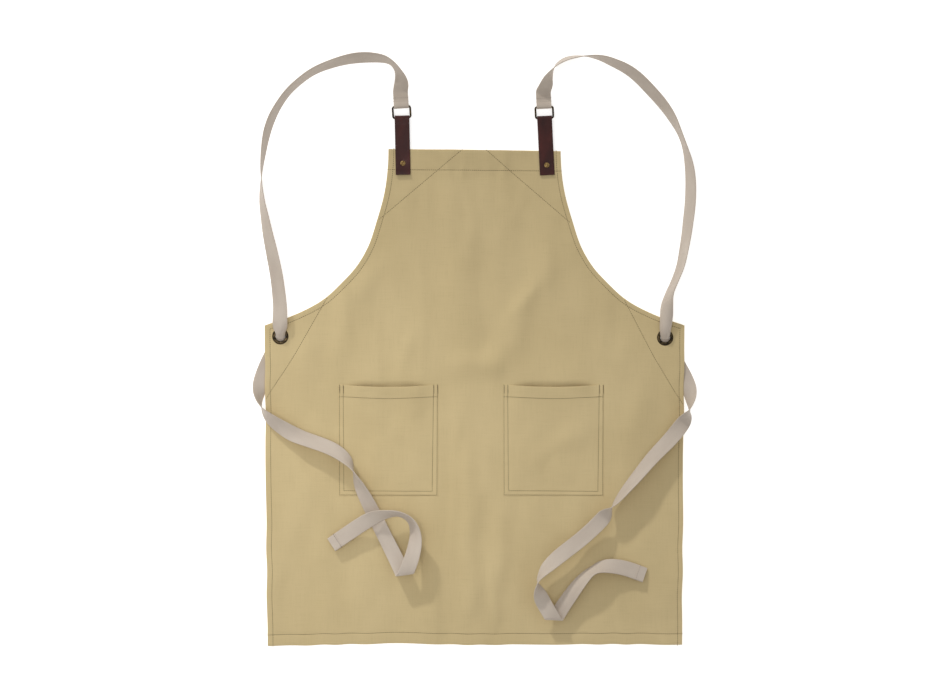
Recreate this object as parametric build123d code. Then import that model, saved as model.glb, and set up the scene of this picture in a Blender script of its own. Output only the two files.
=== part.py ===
"""A canvas work apron with two patch pockets, lying flat on its back with its straps spread out.

The frame is in millimetres. +Z is up, away from the surface that the apron lies on, +Y runs from
the bottom hem to the bib and +X is to the right. The origin is on the surface, at the middle of
the apron without its straps. Each strap is one flat webbing: its neck part runs from a ring on the
bib to a grommet in the side corner, and its tie part runs from that grommet to the free end.
"""

from build123d import *
import math
import os

os.makedirs("parts", exist_ok=True)

# Cloth outline
BOTTOM_Y = -446.0
APRON_LENGTH = 818.0
BIB_HALF_WIDTH = 142.0
SIDE_HALF_WIDTH = 346.0
BOTTOM_HALF_WIDTH = 341.5
BIB_Y = BOTTOM_Y + APRON_LENGTH
SIDE_Y = 83.0
# Half width of the armhole curve at each depth below the bib's top edge.
ARMHOLE = [(148.5, 70), (161, 116), (176, 160), (197, 195), (218, 218), (245, 243), (305, 275)]

# Hems and reinforcement patches, all turned under the back of the panel
BIB_HEM = 36.0
BOTTOM_HEM = 19.5
EDGE_HEM = 9.5
BAND_STEPS = 12
# Corners of the right-hand patches. They run past the outline and the hems, which trim them.
BIB_PATCH = [(24, 372), (172, 372), (172, 234), (157, 254)]
SIDE_PATCH = [(346, 143), (244, 143), (244, 129), (346, -39)]

# Heights of the layers above the surface
BACK_CAP_TOP = 0.8
LEATHER_BACK = 0.9
HEM_BACK = 2.5
PATCH_BACK = 3.1
PANEL_BACK = 3.7
PANEL_FRONT = 4.3
LEATHER_FRONT = 5.9
LEATHER = 1.4

# Patch pockets: left, right, bottom and top of each
POCKETS = {"left": (-224, -60, -198, -15), "right": (47, 213, -198, -15)}
POCKET_CLOTH = 0.6
POCKET_SEAM = 12.0
POCKET_RAMP = 14.0
POCKET_RAMP_WALL = 0.9
MOUTH_OVERSHOOT = 1.0
POCKET_DEPTH = 6.2
POCKET_HEM = 20.0
POCKET_HEM_CLOTH = 1.2

# Leather tabs, their rivets and rings: rivet place, tab tilt, ring tilt on the tab, rivet to ring
TABS = {
    "left": ((-118, 350), 1.2, 2.5, 75.0),
    "right": ((119, 347), 2.7, 0.0, 77.5),
}
TAB_WIDTH = 24.4
TAB_BELOW_RIVET = {"left": 19.0, "right": 16.5}
FOLD_RISE = 12.0
FOLD_INNER = 2.4
RIVET_RADIUS = 1.6
RIVET_HOLE = 1.7
CAP_RADIUS = 4.3
CAP_GAP = 0.1
CAP_HEIGHT = 1.3
CAP_ROUNDING = 0.85
RING_WIDTH = 28.8
RING_HEIGHT = 18.8
RING_CORNER = 3.0
RING_WIRE = 1.6
RING_Z = 4.0

# Sewn loop of webbing round each ring's upper bar
LOOP_WIDTH = 24.6
LOOP_INNER = 1.9
LOOP_BACK = 22.0
LOOP_FRONT = 17.0
LOOP_NECK = 10.0
LOOP_EYE = 8.0

# Grommets
GROMMETS = {"left": (-320, 65), "right": (314, 63)}
HOLE_RADIUS = 8.0
BARREL_RADIUS = 8.6
FLANGE_RADIUS = 13.5
FLANGE_HEIGHT = 1.1
FLANGE_ROUNDING = 0.8
WASHER_RADIUS = 12.5
WASHER_BACK = 2.4
LIP_BACK = 2.2
LIP_RADIUS = 9.6

# Webbing
WEB_WIDTH = 25.0
WEB = 1.5
BUNCH_WIDTH = 6.5
BUNCH_LENGTH = 34.0
HEAD_RUN = 14.0
GROMMET_Z = 4.2
GROMMET_SLOPE = 0.4
GROMMET_OVER = 9.5
GROMMET_UNDER = 8.2
TIE_END = 14.0
CORNER_SHARE = 0.45
ARC_STEP = 12.0
STRAIGHT = 0.1

# Length of the tools that cut the round holes
DRILL = 40.0

# Routes of the webbing's middle line: x, y, z, then the way its outer edge faces, as a compass
# angle from +X and a lift above level. A lift past 90 degrees shows the webbing's other face.
LEFT_NECK = [
    (-131, 508, 13.2, 45, 68),
    (-149, 521, 12.6, 75, 60),
    (-186, 524, 11, 92, 50),
    (-225, 517, 12, 105, 58),
    (-263, 503, 13, 118, 63),
    (-296, 479, 13, 132, 66),
    (-321, 449, 13, 145, 66),
    (-338, 414, 12, 160, 60),
    (-347, 375, 13, 170, 72),
    (-351, 335, 14, 177, 90),
    (-350, 294, 13, 182, 112),
    (-344, 251, 11, 187, 130),
    (-334, 206, 9, 192, 145),
    (-325, 160, 9, 190, 152),
    (-320, 118, 11, 183, 158),
    (-320, 88, 10, 180, 165),
]
RIGHT_NECK = [
    (116, 484, 9.5, 175, 30),
    (129, 504, 13, 140, 72),
    (152, 520, 13, 110, 105),
    (182, 525, 14, 92, 92),
    (217, 519, 13, 70, 68),
    (255, 503, 12, 60, 55),
    (289, 472, 12, 50, 50),
    (321, 432, 12, 35, 58),
    (343, 389, 13.6, 18, 78),
    (356, 336, 11, 5, 52),
    (355, 282, 11, -6, 48),
    (348, 229, 12, -12, 55),
    (341, 186, 13.2, -18, 68),
    (329, 146, 14, -15, 74),
    (317, 115, 14, -8, 48),
    (314, 90, 14, 0, 28),
]
LEFT_TIE = [
    (-330, 43, 1.0, -38, 0),
    (-344, 24, 1.0, -20, 0),
    (-356, 0, 1.2, 0, -2),
    (-361, -24, 7.8, 6, -31),
    (-355, -49, 14.6, 20, -90),
    (-337, -71, 15, 45, -142),
    (-306, -92, 12, 62, -160),
    (-268, -108, 13, 66, -168),
    (-232, -120, 19, 60, -160),
    (-208, -136, 25, 45, -130),
    (-198, -154, 27, 28, -90),
    (-188, -181, 22, 24, -35),
    (-174, -210, 14, 24, -10),
    (-159, -241, 9, 25, 0),
    (-141, -277, 12, 25, 0),
    (-127, -305, 18, 20, 0),
    (-118, -323, 21, 12, 0),
    (-113, -331, 26, 8, 0),
    (-110, -324, 32, 2, 0),
    (-104, -305, 34, -12, 8),
    (-98, -282, 31, -8, 22),
    (-96, -258, 27, 2, 42),
    (-103, -236, 25, 32, 60),
    (-124, -224, 23, 70, 60),
    (-149, -227, 21, 98, 42),
    (-176, -236, 20, 112, 22),
    (-204, -256, 14, 120, 8),
]
RIGHT_TIE = [
    (324, 41, 1.0, 32, 0),
    (338, 21, 0.9, 18, 0),
    (355, -3, 0.9, 4, 0),
    (363, -28, 6.9, -2, 25),
    (356, -55, 14.6, -12, 88),
    (342, -79, 15, -32, 142),
    (322, -104, 12, -42, 160),
    (294, -132, 15, -45, 150),
    (266, -165, 19, -46, 140),
    (238, -199, 22, -46, 125),
    (225, -216, 20, -46, 90),
    (205, -240, 22, -48, 35),
    (176, -267, 25, -50, 18),
    (141, -292, 28, -52, 15),
    (114, -315, 30, -45, 45),
    (102, -341, 31, -10, 68),
    (108, -365, 30, 22, 40),
    (119, -386, 28, 26, 8),
    (127, -399, 24, 12, 0),
    (132, -403, 18, 4, 0),
    (138, -393, 12, -6, 0),
    (156, -361, 12, -30, 15),
    (177, -334, 16, -42, 30),
    (201, -316, 18, -62, 30),
    (230, -312, 17, -85, 18),
    (257, -319, 14, -100, 10),
]
LEFT_TIE_TIP = (-224, -270, 11)
RIGHT_TIE_TIP = (267, -323, 13)


def plate(face, low, high):
    """A flat sheet of cloth between two heights."""
    return extrude(Pos(0, 0, low) * face, amount=high - low, dir=(0, 0, 1))


def quad(*corners):
    """A flat four-sided face."""
    return make_face(Polyline(*corners, close=True))


def export(shape, name):
    """Write one named piece."""
    export_step(shape, f"parts/{name}.step")


# ---- Cloth outline --------------------------------------------------------------------------


def armhole_curve(side):
    """The armhole's edge, from the bib's corner to the side corner."""
    inner = [(side * half, BIB_Y - depth) for half, depth in ARMHOLE]
    start = (side * BIB_HALF_WIDTH, BIB_Y)
    end = (side * SIDE_HALF_WIDTH, SIDE_Y)
    return Spline(start, *inner, end, tangents=((0, -1), (side * 0.93, -0.36)))


def panel_face():
    """The apron's outline, as one flat face."""
    curves = [armhole_curve(-1), armhole_curve(1)]
    lines = [
        Line((-BIB_HALF_WIDTH, BIB_Y), (BIB_HALF_WIDTH, BIB_Y)),
        Line((SIDE_HALF_WIDTH, SIDE_Y), (BOTTOM_HALF_WIDTH, BOTTOM_Y)),
        Line((BOTTOM_HALF_WIDTH, BOTTOM_Y), (-BOTTOM_HALF_WIDTH, BOTTOM_Y)),
        Line((-BOTTOM_HALF_WIDTH, BOTTOM_Y), (-SIDE_HALF_WIDTH, SIDE_Y)),
    ]
    return make_face(curves + lines)


def armhole_band(side):
    """A band of hem width along the armhole's edge, a little over-long at both ends."""
    curve = armhole_curve(side)
    inner = []
    for step in range(BAND_STEPS + 1):
        point = curve @ (step / BAND_STEPS)
        tangent = curve % (step / BAND_STEPS)
        inner.append(point + Vector(side * tangent.Y, -side * tangent.X, 0) * EDGE_HEM)
    edge = Spline(*inner)
    return make_face([curve, edge, Line(curve @ 0, edge @ 0), Line(curve @ 1, edge @ 1)])


def side_band(side):
    """A band of hem width along the slanted side edge."""
    return quad(
        (side * SIDE_HALF_WIDTH, SIDE_Y),
        (side * BOTTOM_HALF_WIDTH, BOTTOM_Y),
        (side * (BOTTOM_HALF_WIDTH - EDGE_HEM), BOTTOM_Y),
        (side * (SIDE_HALF_WIDTH - EDGE_HEM), SIDE_Y + EDGE_HEM),
    )


def panel_holes():
    """Holes for the two rivets and the two grommet barrels."""
    holes = [Pos(x, y) * Circle(RIVET_HOLE) for (x, y), *_ in TABS.values()]
    return holes + [Pos(x, y) * Circle(BARREL_RADIUS) for x, y in GROMMETS.values()]


def make_cloth():
    """The panel, its hems and its four reinforcement patches."""
    outline = panel_face()
    holes = panel_holes()
    wide = 2 * SIDE_HALF_WIDTH
    top = Pos(0, BIB_Y - BIB_HEM / 2) * Rectangle(wide, BIB_HEM)
    bottom = Pos(0, BOTTOM_Y + BOTTOM_HEM / 2) * Rectangle(wide, BOTTOM_HEM)
    field = outline - top - bottom
    export(plate(outline - holes, PANEL_BACK, PANEL_FRONT), "main_panel")
    export(plate(outline & top - holes, HEM_BACK, PANEL_BACK), "bib_hem")
    export(plate(outline & bottom, HEM_BACK, PANEL_BACK), "bottom_hem")
    for name, side in (("left", -1), ("right", 1)):
        edge = (side_band(side) & outline) - bottom
        band = (armhole_band(side) & outline) - top - edge
        export(plate(edge, HEM_BACK, PANEL_BACK), f"{name}_side_hem")
        export(plate(band, HEM_BACK, PANEL_BACK), f"{name}_armhole_hem")
        field = field - edge - band
    for name, side in (("left", -1), ("right", 1)):
        bib = quad(*[(side * x, y) for x, y in BIB_PATCH])
        flank = quad(*[(side * x, y) for x, y in SIDE_PATCH])
        export(plate((bib & field) - holes, PATCH_BACK, PANEL_BACK), f"{name}_bib_patch")
        export(plate((flank & field) - holes, PATCH_BACK, PANEL_BACK), f"{name}_side_patch")


# ---- Pockets --------------------------------------------------------------------------------


def tray(left, right, bottom, top, inset, low, height):
    """A shallow frustum whose mouth end is upright, for the pocket's outer or inner shape."""
    base = inset
    crown = inset + POCKET_RAMP
    faces = []
    for shrink, z in ((base, low), (crown, low + height)):
        middle = ((left + right) / 2, (bottom + shrink + top) / 2)
        size = (right - left - 2 * shrink, top - bottom - shrink)
        faces.append(Pos(*middle, z) * Rectangle(*size))
    return loft(faces)


def make_pocket(name, left, right, bottom, top):
    """A patch pocket sewn on three sides, standing open at the mouth, and its turned hem."""
    low = PANEL_FRONT
    flat = Pos((left + right) / 2, (bottom + top) / 2, low) * Box(
        right - left, top - bottom, POCKET_CLOTH, align=(Align.CENTER, Align.CENTER, Align.MIN)
    )
    outer = tray(left, right, bottom, top, POCKET_SEAM, low, POCKET_DEPTH + POCKET_CLOTH)
    inset = POCKET_SEAM + POCKET_RAMP_WALL
    inner = tray(left, right, bottom, top + MOUTH_OVERSHOOT, inset, low, POCKET_DEPTH)
    export(flat + outer - inner, f"{name}_pocket")
    crown = inset + POCKET_RAMP + POCKET_CLOTH
    hem = Pos((left + right) / 2, top - POCKET_HEM / 2, low + POCKET_DEPTH - POCKET_HEM_CLOTH)
    strip = Box(
        right - left - 2 * crown,
        POCKET_HEM,
        POCKET_HEM_CLOTH,
        align=(Align.CENTER, Align.CENTER, Align.MIN),
    )
    export(hem * strip, f"{name}_pocket_hem")


# ---- Leather tabs, rivets and rings ---------------------------------------------------------


def tab_frame(name):
    """The tab's own frame: its origin at the rivet and its y axis up the tab."""
    (x, y), tilt, *_ = TABS[name]
    return Location((x, y, 0), (0, 0, tilt))


def ring_frame(name):
    """The ring's own frame: its origin on the middle of the lower bar, y towards the strap."""
    _, _, ring_tilt, reach = TABS[name]
    return tab_frame(name) * Location((0, reach, 0), (0, 0, ring_tilt))


def make_tab(name):
    """A strip of leather folded round the ring's lower bar, with both ends over the bib."""
    reach = TABS[name][3]
    low_end = -TAB_BELOW_RIVET[name]
    neck = reach - FOLD_RISE
    rings = []
    for skin, radius in ((0, FOLD_INNER + LEATHER), (LEATHER, FOLD_INNER)):
        front = LEATHER_FRONT - skin
        back = LEATHER_BACK + skin
        rings.append(
            [
                Line((low_end, front), (neck, front)),
                Line((neck, front), (reach, RING_Z + radius)),
                ThreePointArc(
                    (reach, RING_Z + radius), (reach + radius, RING_Z), (reach, RING_Z - radius)
                ),
                Line((reach, RING_Z - radius), (neck, back)),
                Line((neck, back), (low_end, back)),
            ]
        )
    ends = [
        Line((low_end, LEATHER_FRONT), (low_end, LEATHER_FRONT - LEATHER)),
        Line((low_end, LEATHER_BACK), (low_end, LEATHER_BACK + LEATHER)),
    ]
    profile = Plane.YZ * make_face(rings[0] + rings[1] + ends)
    strip = extrude(profile, amount=TAB_WIDTH / 2, both=True)
    export(tab_frame(name) * (strip - Cylinder(RIVET_HOLE, DRILL)), f"{name}_tab")


def make_rivet(name):
    """A two-piece rivet: a post with a flat back cap, and a domed front cap."""
    frame = tab_frame(name)
    seat = LEATHER_FRONT + CAP_GAP
    upward = (Align.CENTER, Align.CENTER, Align.MIN)
    back = Cylinder(CAP_RADIUS, BACK_CAP_TOP, align=upward)
    post = back + Cylinder(RIVET_RADIUS, seat, align=upward)
    cap = Pos(0, 0, seat) * Cylinder(CAP_RADIUS, CAP_HEIGHT, align=upward)
    cap = fillet(cap.edges().group_by(Axis.Z)[-1], CAP_HEIGHT * CAP_ROUNDING)
    export(frame * post, f"{name}_rivet_post")
    export(frame * cap, f"{name}_rivet_cap")


def make_ring(name):
    """A rectangular wire ring with rounded corners."""
    half = RING_WIDTH / 2
    corners = [(-half, 0), (half, 0), (half, RING_HEIGHT), (-half, RING_HEIGHT)]
    path = FilletPolyline(*corners, radius=RING_CORNER, close=True)
    start = path @ 0
    section = Plane(start, z_dir=path % 0) * Circle(RING_WIRE)
    ring = Pos(0, 0, RING_Z) * sweep(section, path=path)
    export(ring_frame(name) * ring, f"{name}_ring")


def make_loop(name):
    """The webbing's end, turned round the ring's upper bar and sewn to itself."""
    outer = LOOP_INNER + WEB
    low = RING_Z - outer
    top = RING_Z + outer
    sewn = low + 2 * WEB
    bar = RING_HEIGHT
    outline = [
        Line((bar + LOOP_BACK, low), (bar, low)),
        ThreePointArc((bar, low), (bar - outer, RING_Z), (bar, top)),
        Line((bar, top), (bar + LOOP_NECK, sewn)),
        Line((bar + LOOP_NECK, sewn), (bar + LOOP_FRONT, sewn)),
        Line((bar + LOOP_FRONT, sewn), (bar + LOOP_FRONT, low + WEB)),
        Line((bar + LOOP_FRONT, low + WEB), (bar + LOOP_BACK, low + WEB)),
        Line((bar + LOOP_BACK, low + WEB), (bar + LOOP_BACK, low)),
    ]
    eye = [
        ThreePointArc(
            (bar, low + WEB), (bar - LOOP_INNER, RING_Z), (bar, RING_Z + LOOP_INNER)
        ),
        Line((bar, RING_Z + LOOP_INNER), (bar + LOOP_EYE, low + WEB)),
        Line((bar + LOOP_EYE, low + WEB), (bar, low + WEB)),
    ]
    profile = Plane.YZ * (make_face(outline) - make_face(eye))
    loop = extrude(profile, amount=LOOP_WIDTH / 2, both=True)
    export(ring_frame(name) * loop, f"{name}_strap_loop")


def make_grommet(name):
    """An eyelet with a rolled flange and barrel, and the washer it is set against."""
    x, y = GROMMETS[name]
    upward = (Align.CENTER, Align.CENTER, Align.MIN)
    flange = Pos(0, 0, PANEL_FRONT) * Cylinder(FLANGE_RADIUS, FLANGE_HEIGHT, align=upward)
    flange = fillet(flange.edges().group_by(Axis.Z)[-1], FLANGE_HEIGHT * FLANGE_ROUNDING)
    barrel_height = PANEL_FRONT - LIP_BACK
    barrel = Pos(0, 0, LIP_BACK) * Cylinder(BARREL_RADIUS, barrel_height, align=upward)
    lip = Pos(0, 0, LIP_BACK) * Cylinder(LIP_RADIUS, WASHER_BACK - LIP_BACK, align=upward)
    eyelet = flange + barrel + lip - Cylinder(HOLE_RADIUS, DRILL)
    washer_height = PATCH_BACK - WASHER_BACK
    washer = Pos(0, 0, WASHER_BACK) * Cylinder(WASHER_RADIUS, washer_height, align=upward)
    export(Pos(x, y) * eyelet, f"{name}_grommet")
    export(Pos(x, y) * (washer - Cylinder(BARREL_RADIUS, DRILL)), f"{name}_grommet_washer")


# ---- Webbing --------------------------------------------------------------------------------


def edge_way(compass, lift):
    """The direction that the webbing's outer edge faces."""
    compass = math.radians(compass)
    lift = math.radians(lift)
    level = math.cos(lift)
    return Vector(level * math.cos(compass), level * math.sin(compass), math.sin(lift))


def corner_radii(points):
    """The largest smooth arc that each corner's two runs leave room for."""
    radii = []
    for before, here, after in zip(points, points[1:], points[2:]):
        turn = math.radians((here - before).get_angle(after - here))
        run = min((here - before).length, (after - here).length)
        radii.append(CORNER_SHARE * run / math.tan(turn / 2))
    return radii


def steps_round(edge):
    """The shares of a run or an arc at which the webbing's section is placed."""
    turn = (edge % 0).get_angle(edge % 1)
    count = max(2, math.ceil(turn / ARC_STEP)) if turn > STRAIGHT else 1
    return [step / count for step in range(1, count + 1)]


def blend(knots, values, place):
    """The value at a place along the route, between the two nearest knots."""
    for (low, high), (first, last) in zip(zip(knots, knots[1:]), zip(values, values[1:])):
        if place <= high:
            share = max(0.0, (place - low) / (high - low))
            return first + (last - first) * share
    return values[-1]


def skin(sections):
    """A closed solid through four-cornered sections, in flat triangles whose long edges on the
    webbing's two faces run the same way, so that its thickness holds through a twist."""
    faces = []
    for here, after in zip(sections, sections[1:]):
        for corner, beyond in ((0, 1), (1, 2), (3, 2), (0, 3)):
            faces.append(triangle(here[corner], here[beyond], after[beyond]))
            faces.append(triangle(here[corner], after[beyond], after[corner]))
    for first, second, third, fourth in (sections[0], sections[-1]):
        faces.append(triangle(first, second, third))
        faces.append(triangle(first, third, fourth))
    return Solid(Shell(faces))


def triangle(*corners):
    """A flat three-cornered face."""
    return Face(Wire.make_polygon(corners, close=True))


def webbing(name, route, bunched_end):
    """A flat ribbon along a route, gathered where it enters the grommet."""
    points = [Vector(*row[:3]) for row in route]
    radii = corner_radii(points)
    path = FilletPolyline(*points, radius=radii)
    stations = [(0.0, path @ 0, path % 0)]
    knots = [0.0]
    place = 0.0
    for edge in path.edges():
        if edge.geom_type == GeomType.CIRCLE:
            knots.append(place + edge.length / 2)
        for share in steps_round(edge):
            stations.append((place + share * edge.length, edge @ share, edge % share))
        place += edge.length
    knots.append(place)
    ways = [edge_way(*row[3:]) for row in route]
    corners = ((1, 1), (-1, 1), (-1, -1), (1, -1))
    sections = []
    for along, point, tangent in stations:
        across = blend(knots, ways, along)
        across = (across - tangent * across.dot(tangent)).normalized()
        from_bunch = place - along if bunched_end else along
        share = min(1.0, from_bunch / BUNCH_LENGTH)
        width = BUNCH_WIDTH + (WEB_WIDTH - BUNCH_WIDTH) * share
        side = across * (width / 2)
        rise = tangent.cross(across) * (WEB / 2)
        sections.append([point + side * right + rise * up for right, up in corners])
    ribbon = skin(sections)
    export(ribbon, name)
    smallest = min(radii)
    flat_volume = place * WEB_WIDTH * WEB
    print(f"{name}: length {place:.1f}, smallest radius {smallest:.1f}")
    print(f"  radii {[round(radius) for radius in radii]}")
    print(f"  volume {ribbon.volume:.0f}, section times length {flat_volume:.0f}")


def make_neck_strap(name, route):
    """From the sewn loop's end to the middle of the grommet's hole."""
    frame = ring_frame(name)
    z = RING_Z - LOOP_INNER - WEB / 2
    start = frame * Location((0, RING_HEIGHT + LOOP_BACK, z))
    second = frame * Location((0, RING_HEIGHT + LOOP_BACK + HEAD_RUN, z))
    facing, flat = {"left": (0, 180), "right": (180, 0)}[name]
    facing += TABS[name][1] + TABS[name][2]
    head = [(*start.position, facing, 0), (*second.position, facing, 0)]
    x, y = GROMMETS[name]
    rise = GROMMET_OVER * GROMMET_SLOPE
    over = (x, y + GROMMET_OVER, GROMMET_Z + rise, route[-1][3], flat)
    inside = (x, y, GROMMET_Z, flat, flat)
    webbing(f"{name}_neck_strap", head + route + [over, inside], True)


def make_waist_tie(name, route, tip):
    """From the middle of the grommet's hole, under the panel, to the sewn free end."""
    x, y = GROMMETS[name]
    inside = (x, y, GROMMET_Z, 0, 0)
    fall = GROMMET_UNDER * GROMMET_SLOPE
    below = (x, y - GROMMET_UNDER, GROMMET_Z - fall, 0, 0)
    full = [inside, below] + route + [(*tip, *route[-1][3:])]
    webbing(f"{name}_waist_tie", full, False)
    end = Vector(*tip)
    heading = (end - Vector(*route[-1][:3])).normalized()
    across = edge_way(*route[-1][3:])
    across = (across - heading * across.dot(heading)).normalized()
    section = Plane(end, x_dir=across, z_dir=heading) * Rectangle(WEB_WIDTH, 2 * WEB)
    export(extrude(section, amount=TIE_END, dir=heading), f"{name}_tie_end")


make_cloth()
for side_name, box in POCKETS.items():
    make_pocket(side_name, *box)
for side_name in TABS:
    make_tab(side_name)
    make_rivet(side_name)
    make_ring(side_name)
    make_loop(side_name)
    make_grommet(side_name)
make_neck_strap("left", LEFT_NECK)
make_neck_strap("right", RIGHT_NECK)
make_waist_tie("left", LEFT_TIE, LEFT_TIE_TIP)
make_waist_tie("right", RIGHT_TIE, RIGHT_TIE_TIP)
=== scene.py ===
"""Canvas work apron with webbing straps, leather tabs and brass hardware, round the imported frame.

Lengths are metres in the frame's axes: +X right, +Y to the bib, +Z up from the surface that the
apron lies on. Flat cloth is described by its place (x, y) before it is laid, and lay() gives it its
folds, puckers and wavy edges.
"""
import math

import bpy
import numpy as np
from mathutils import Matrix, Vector, geometry, kdtree, noise


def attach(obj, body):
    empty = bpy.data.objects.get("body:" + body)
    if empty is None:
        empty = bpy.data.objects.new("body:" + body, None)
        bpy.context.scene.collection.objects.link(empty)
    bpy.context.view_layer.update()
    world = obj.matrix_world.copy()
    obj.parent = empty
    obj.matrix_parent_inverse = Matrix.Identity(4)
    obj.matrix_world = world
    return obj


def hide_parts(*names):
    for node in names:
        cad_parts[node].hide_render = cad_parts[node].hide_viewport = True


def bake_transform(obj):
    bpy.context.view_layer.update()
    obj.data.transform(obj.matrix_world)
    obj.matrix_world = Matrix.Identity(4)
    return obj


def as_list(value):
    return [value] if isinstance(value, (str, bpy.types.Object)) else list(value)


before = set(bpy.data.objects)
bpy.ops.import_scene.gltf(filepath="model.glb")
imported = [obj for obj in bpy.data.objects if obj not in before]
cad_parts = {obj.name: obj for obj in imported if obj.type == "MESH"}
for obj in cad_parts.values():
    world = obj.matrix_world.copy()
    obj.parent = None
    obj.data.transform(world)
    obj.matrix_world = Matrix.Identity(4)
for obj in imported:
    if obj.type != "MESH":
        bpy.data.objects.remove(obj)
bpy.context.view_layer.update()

SIDES = {"left": -1, "right": 1}

# The cloth's outline. ARMHOLE is its half width at each depth below the bib's top edge.
BOTTOM_Y = -0.446
BIB_Y = 0.372
SIDE_Y = 0.083
BIB_HALF_WIDTH = 0.142
SIDE_HALF_WIDTH = 0.346
BOTTOM_HALF_WIDTH = 0.3415
ARMHOLE = [
    (0.1485, 0.070),
    (0.161, 0.116),
    (0.176, 0.160),
    (0.197, 0.195),
    (0.218, 0.218),
    (0.245, 0.243),
    (0.305, 0.275),
]
BIB_HEM = 0.036
BOTTOM_HEM = 0.0195
EDGE_HEM = 0.0095

# Heights above the surface, the cloth's and leather's thicknesses, and the radius of rolled edges
PANEL_FRONT = 0.0043
CLOTH = 0.0006
HEM_CLOTH = 0.0012
LAYER_GAP = 0.00002
EDGE_ROLL = 0.0009
LEATHER_FRONT = 0.0059
LEATHER_BACK = 0.0009
LEATHER = 0.0014
RING_Z = 0.004

# Pockets: left, right, bottom and top
POCKETS = {"left": (-0.224, -0.060, -0.198, -0.015), "right": (0.047, 0.213, -0.198, -0.015)}
POCKET_HEM = 0.020

# Tabs: rivet place, tab tilt, ring tilt on the tab (degrees), rivet to ring, length below the rivet
TABS = {
    "left": ((-0.118, 0.350), 1.2, 2.5, 0.075, 0.019),
    "right": ((0.119, 0.347), 2.7, 0.0, 0.0775, 0.0165),
}
TAB_WIDTH = 0.0244
RING_WIDTH = 0.0288
RING_HEIGHT = 0.0188
RING_CORNER = 0.003
RING_WIRE = 0.0016
LOOP_WIDTH = 0.0246
LOOP_INNER = 0.0019
LOOP_BACK = 0.022
LOOP_FRONT = 0.017
GROMMETS = {"left": (-0.320, 0.065), "right": (0.314, 0.063)}
HOLE_RADIUS = 0.008
HOLE_EASE = 0.0004
WEB_WIDTH = 0.025
WEB = 0.0015

# Routes of the webbing's middle line: x, y, z in metres, then the way its outer edge faces, as a
# compass angle from +X and a lift above level, in degrees. Lifts keep counting as the strap twists.
NECK_ROUTES = {
    "left": [
        (-0.1195, 0.484, 0.0080, 14, 28),
        (-0.1255, 0.502, 0.0125, 32, 70),
        (-0.136, 0.515, 0.0135, 52, 78),
        (-0.152, 0.5225, 0.0126, 75, 64),
        (-0.186, 0.524, 0.011, 92, 50),
        (-0.225, 0.517, 0.0125, 105, 62),
        (-0.263, 0.503, 0.0134, 118, 70),
        (-0.296, 0.479, 0.0136, 132, 72),
        (-0.321, 0.449, 0.0134, 145, 71),
        (-0.338, 0.414, 0.0128, 160, 64),
        (-0.347, 0.375, 0.0135, 170, 74),
        (-0.351, 0.335, 0.014, 177, 90),
        (-0.350, 0.294, 0.013, 182, 112),
        (-0.344, 0.251, 0.011, 187, 130),
        (-0.334, 0.206, 0.009, 192, 145),
        (-0.325, 0.160, 0.009, 190, 152),
        (-0.320, 0.118, 0.011, 183, 158),
        (-0.320, 0.095, 0.0138, 180, 168),
        (-0.320, 0.080, 0.0150, 180, 180),
        (-0.320, 0.070, 0.0138, 180, 180),
        (-0.320, 0.065, 0.0108, 180, 180),
        (-0.320, 0.061, 0.0085, 180, 180),
    ],
    "right": [
        (0.1175, 0.477, 0.0085, 178, 22),
        (0.1215, 0.491, 0.0118, 165, 58),
        (0.1290, 0.5045, 0.0136, 145, 90),
        (0.1385, 0.5150, 0.0136, 125, 106),
        (0.155, 0.5230, 0.0138, 105, 110),
        (0.182, 0.5265, 0.0140, 92, 97),
        (0.203, 0.5240, 0.0135, 78, 80),
        (0.222, 0.5175, 0.013, 68, 66),
        (0.255, 0.503, 0.012, 60, 55),
        (0.289, 0.472, 0.012, 50, 50),
        (0.321, 0.432, 0.012, 35, 58),
        (0.343, 0.389, 0.0136, 18, 86),
        (0.356, 0.336, 0.011, 5, 54),
        (0.355, 0.282, 0.011, -6, 48),
        (0.348, 0.229, 0.012, -12, 55),
        (0.341, 0.186, 0.0132, -18, 62),
        (0.3285, 0.154, 0.0140, -20, 68),
        (0.3190, 0.134, 0.0140, -18, 64),
        (0.3140, 0.114, 0.0145, -8, 36),
        (0.314, 0.094, 0.0150, 0, 16),
        (0.314, 0.079, 0.0155, 0, 0),
        (0.314, 0.069, 0.0138, 0, 0),
        (0.314, 0.064, 0.0108, 0, 0),
        (0.314, 0.060, 0.0085, 0, 0),
    ],
}
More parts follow.
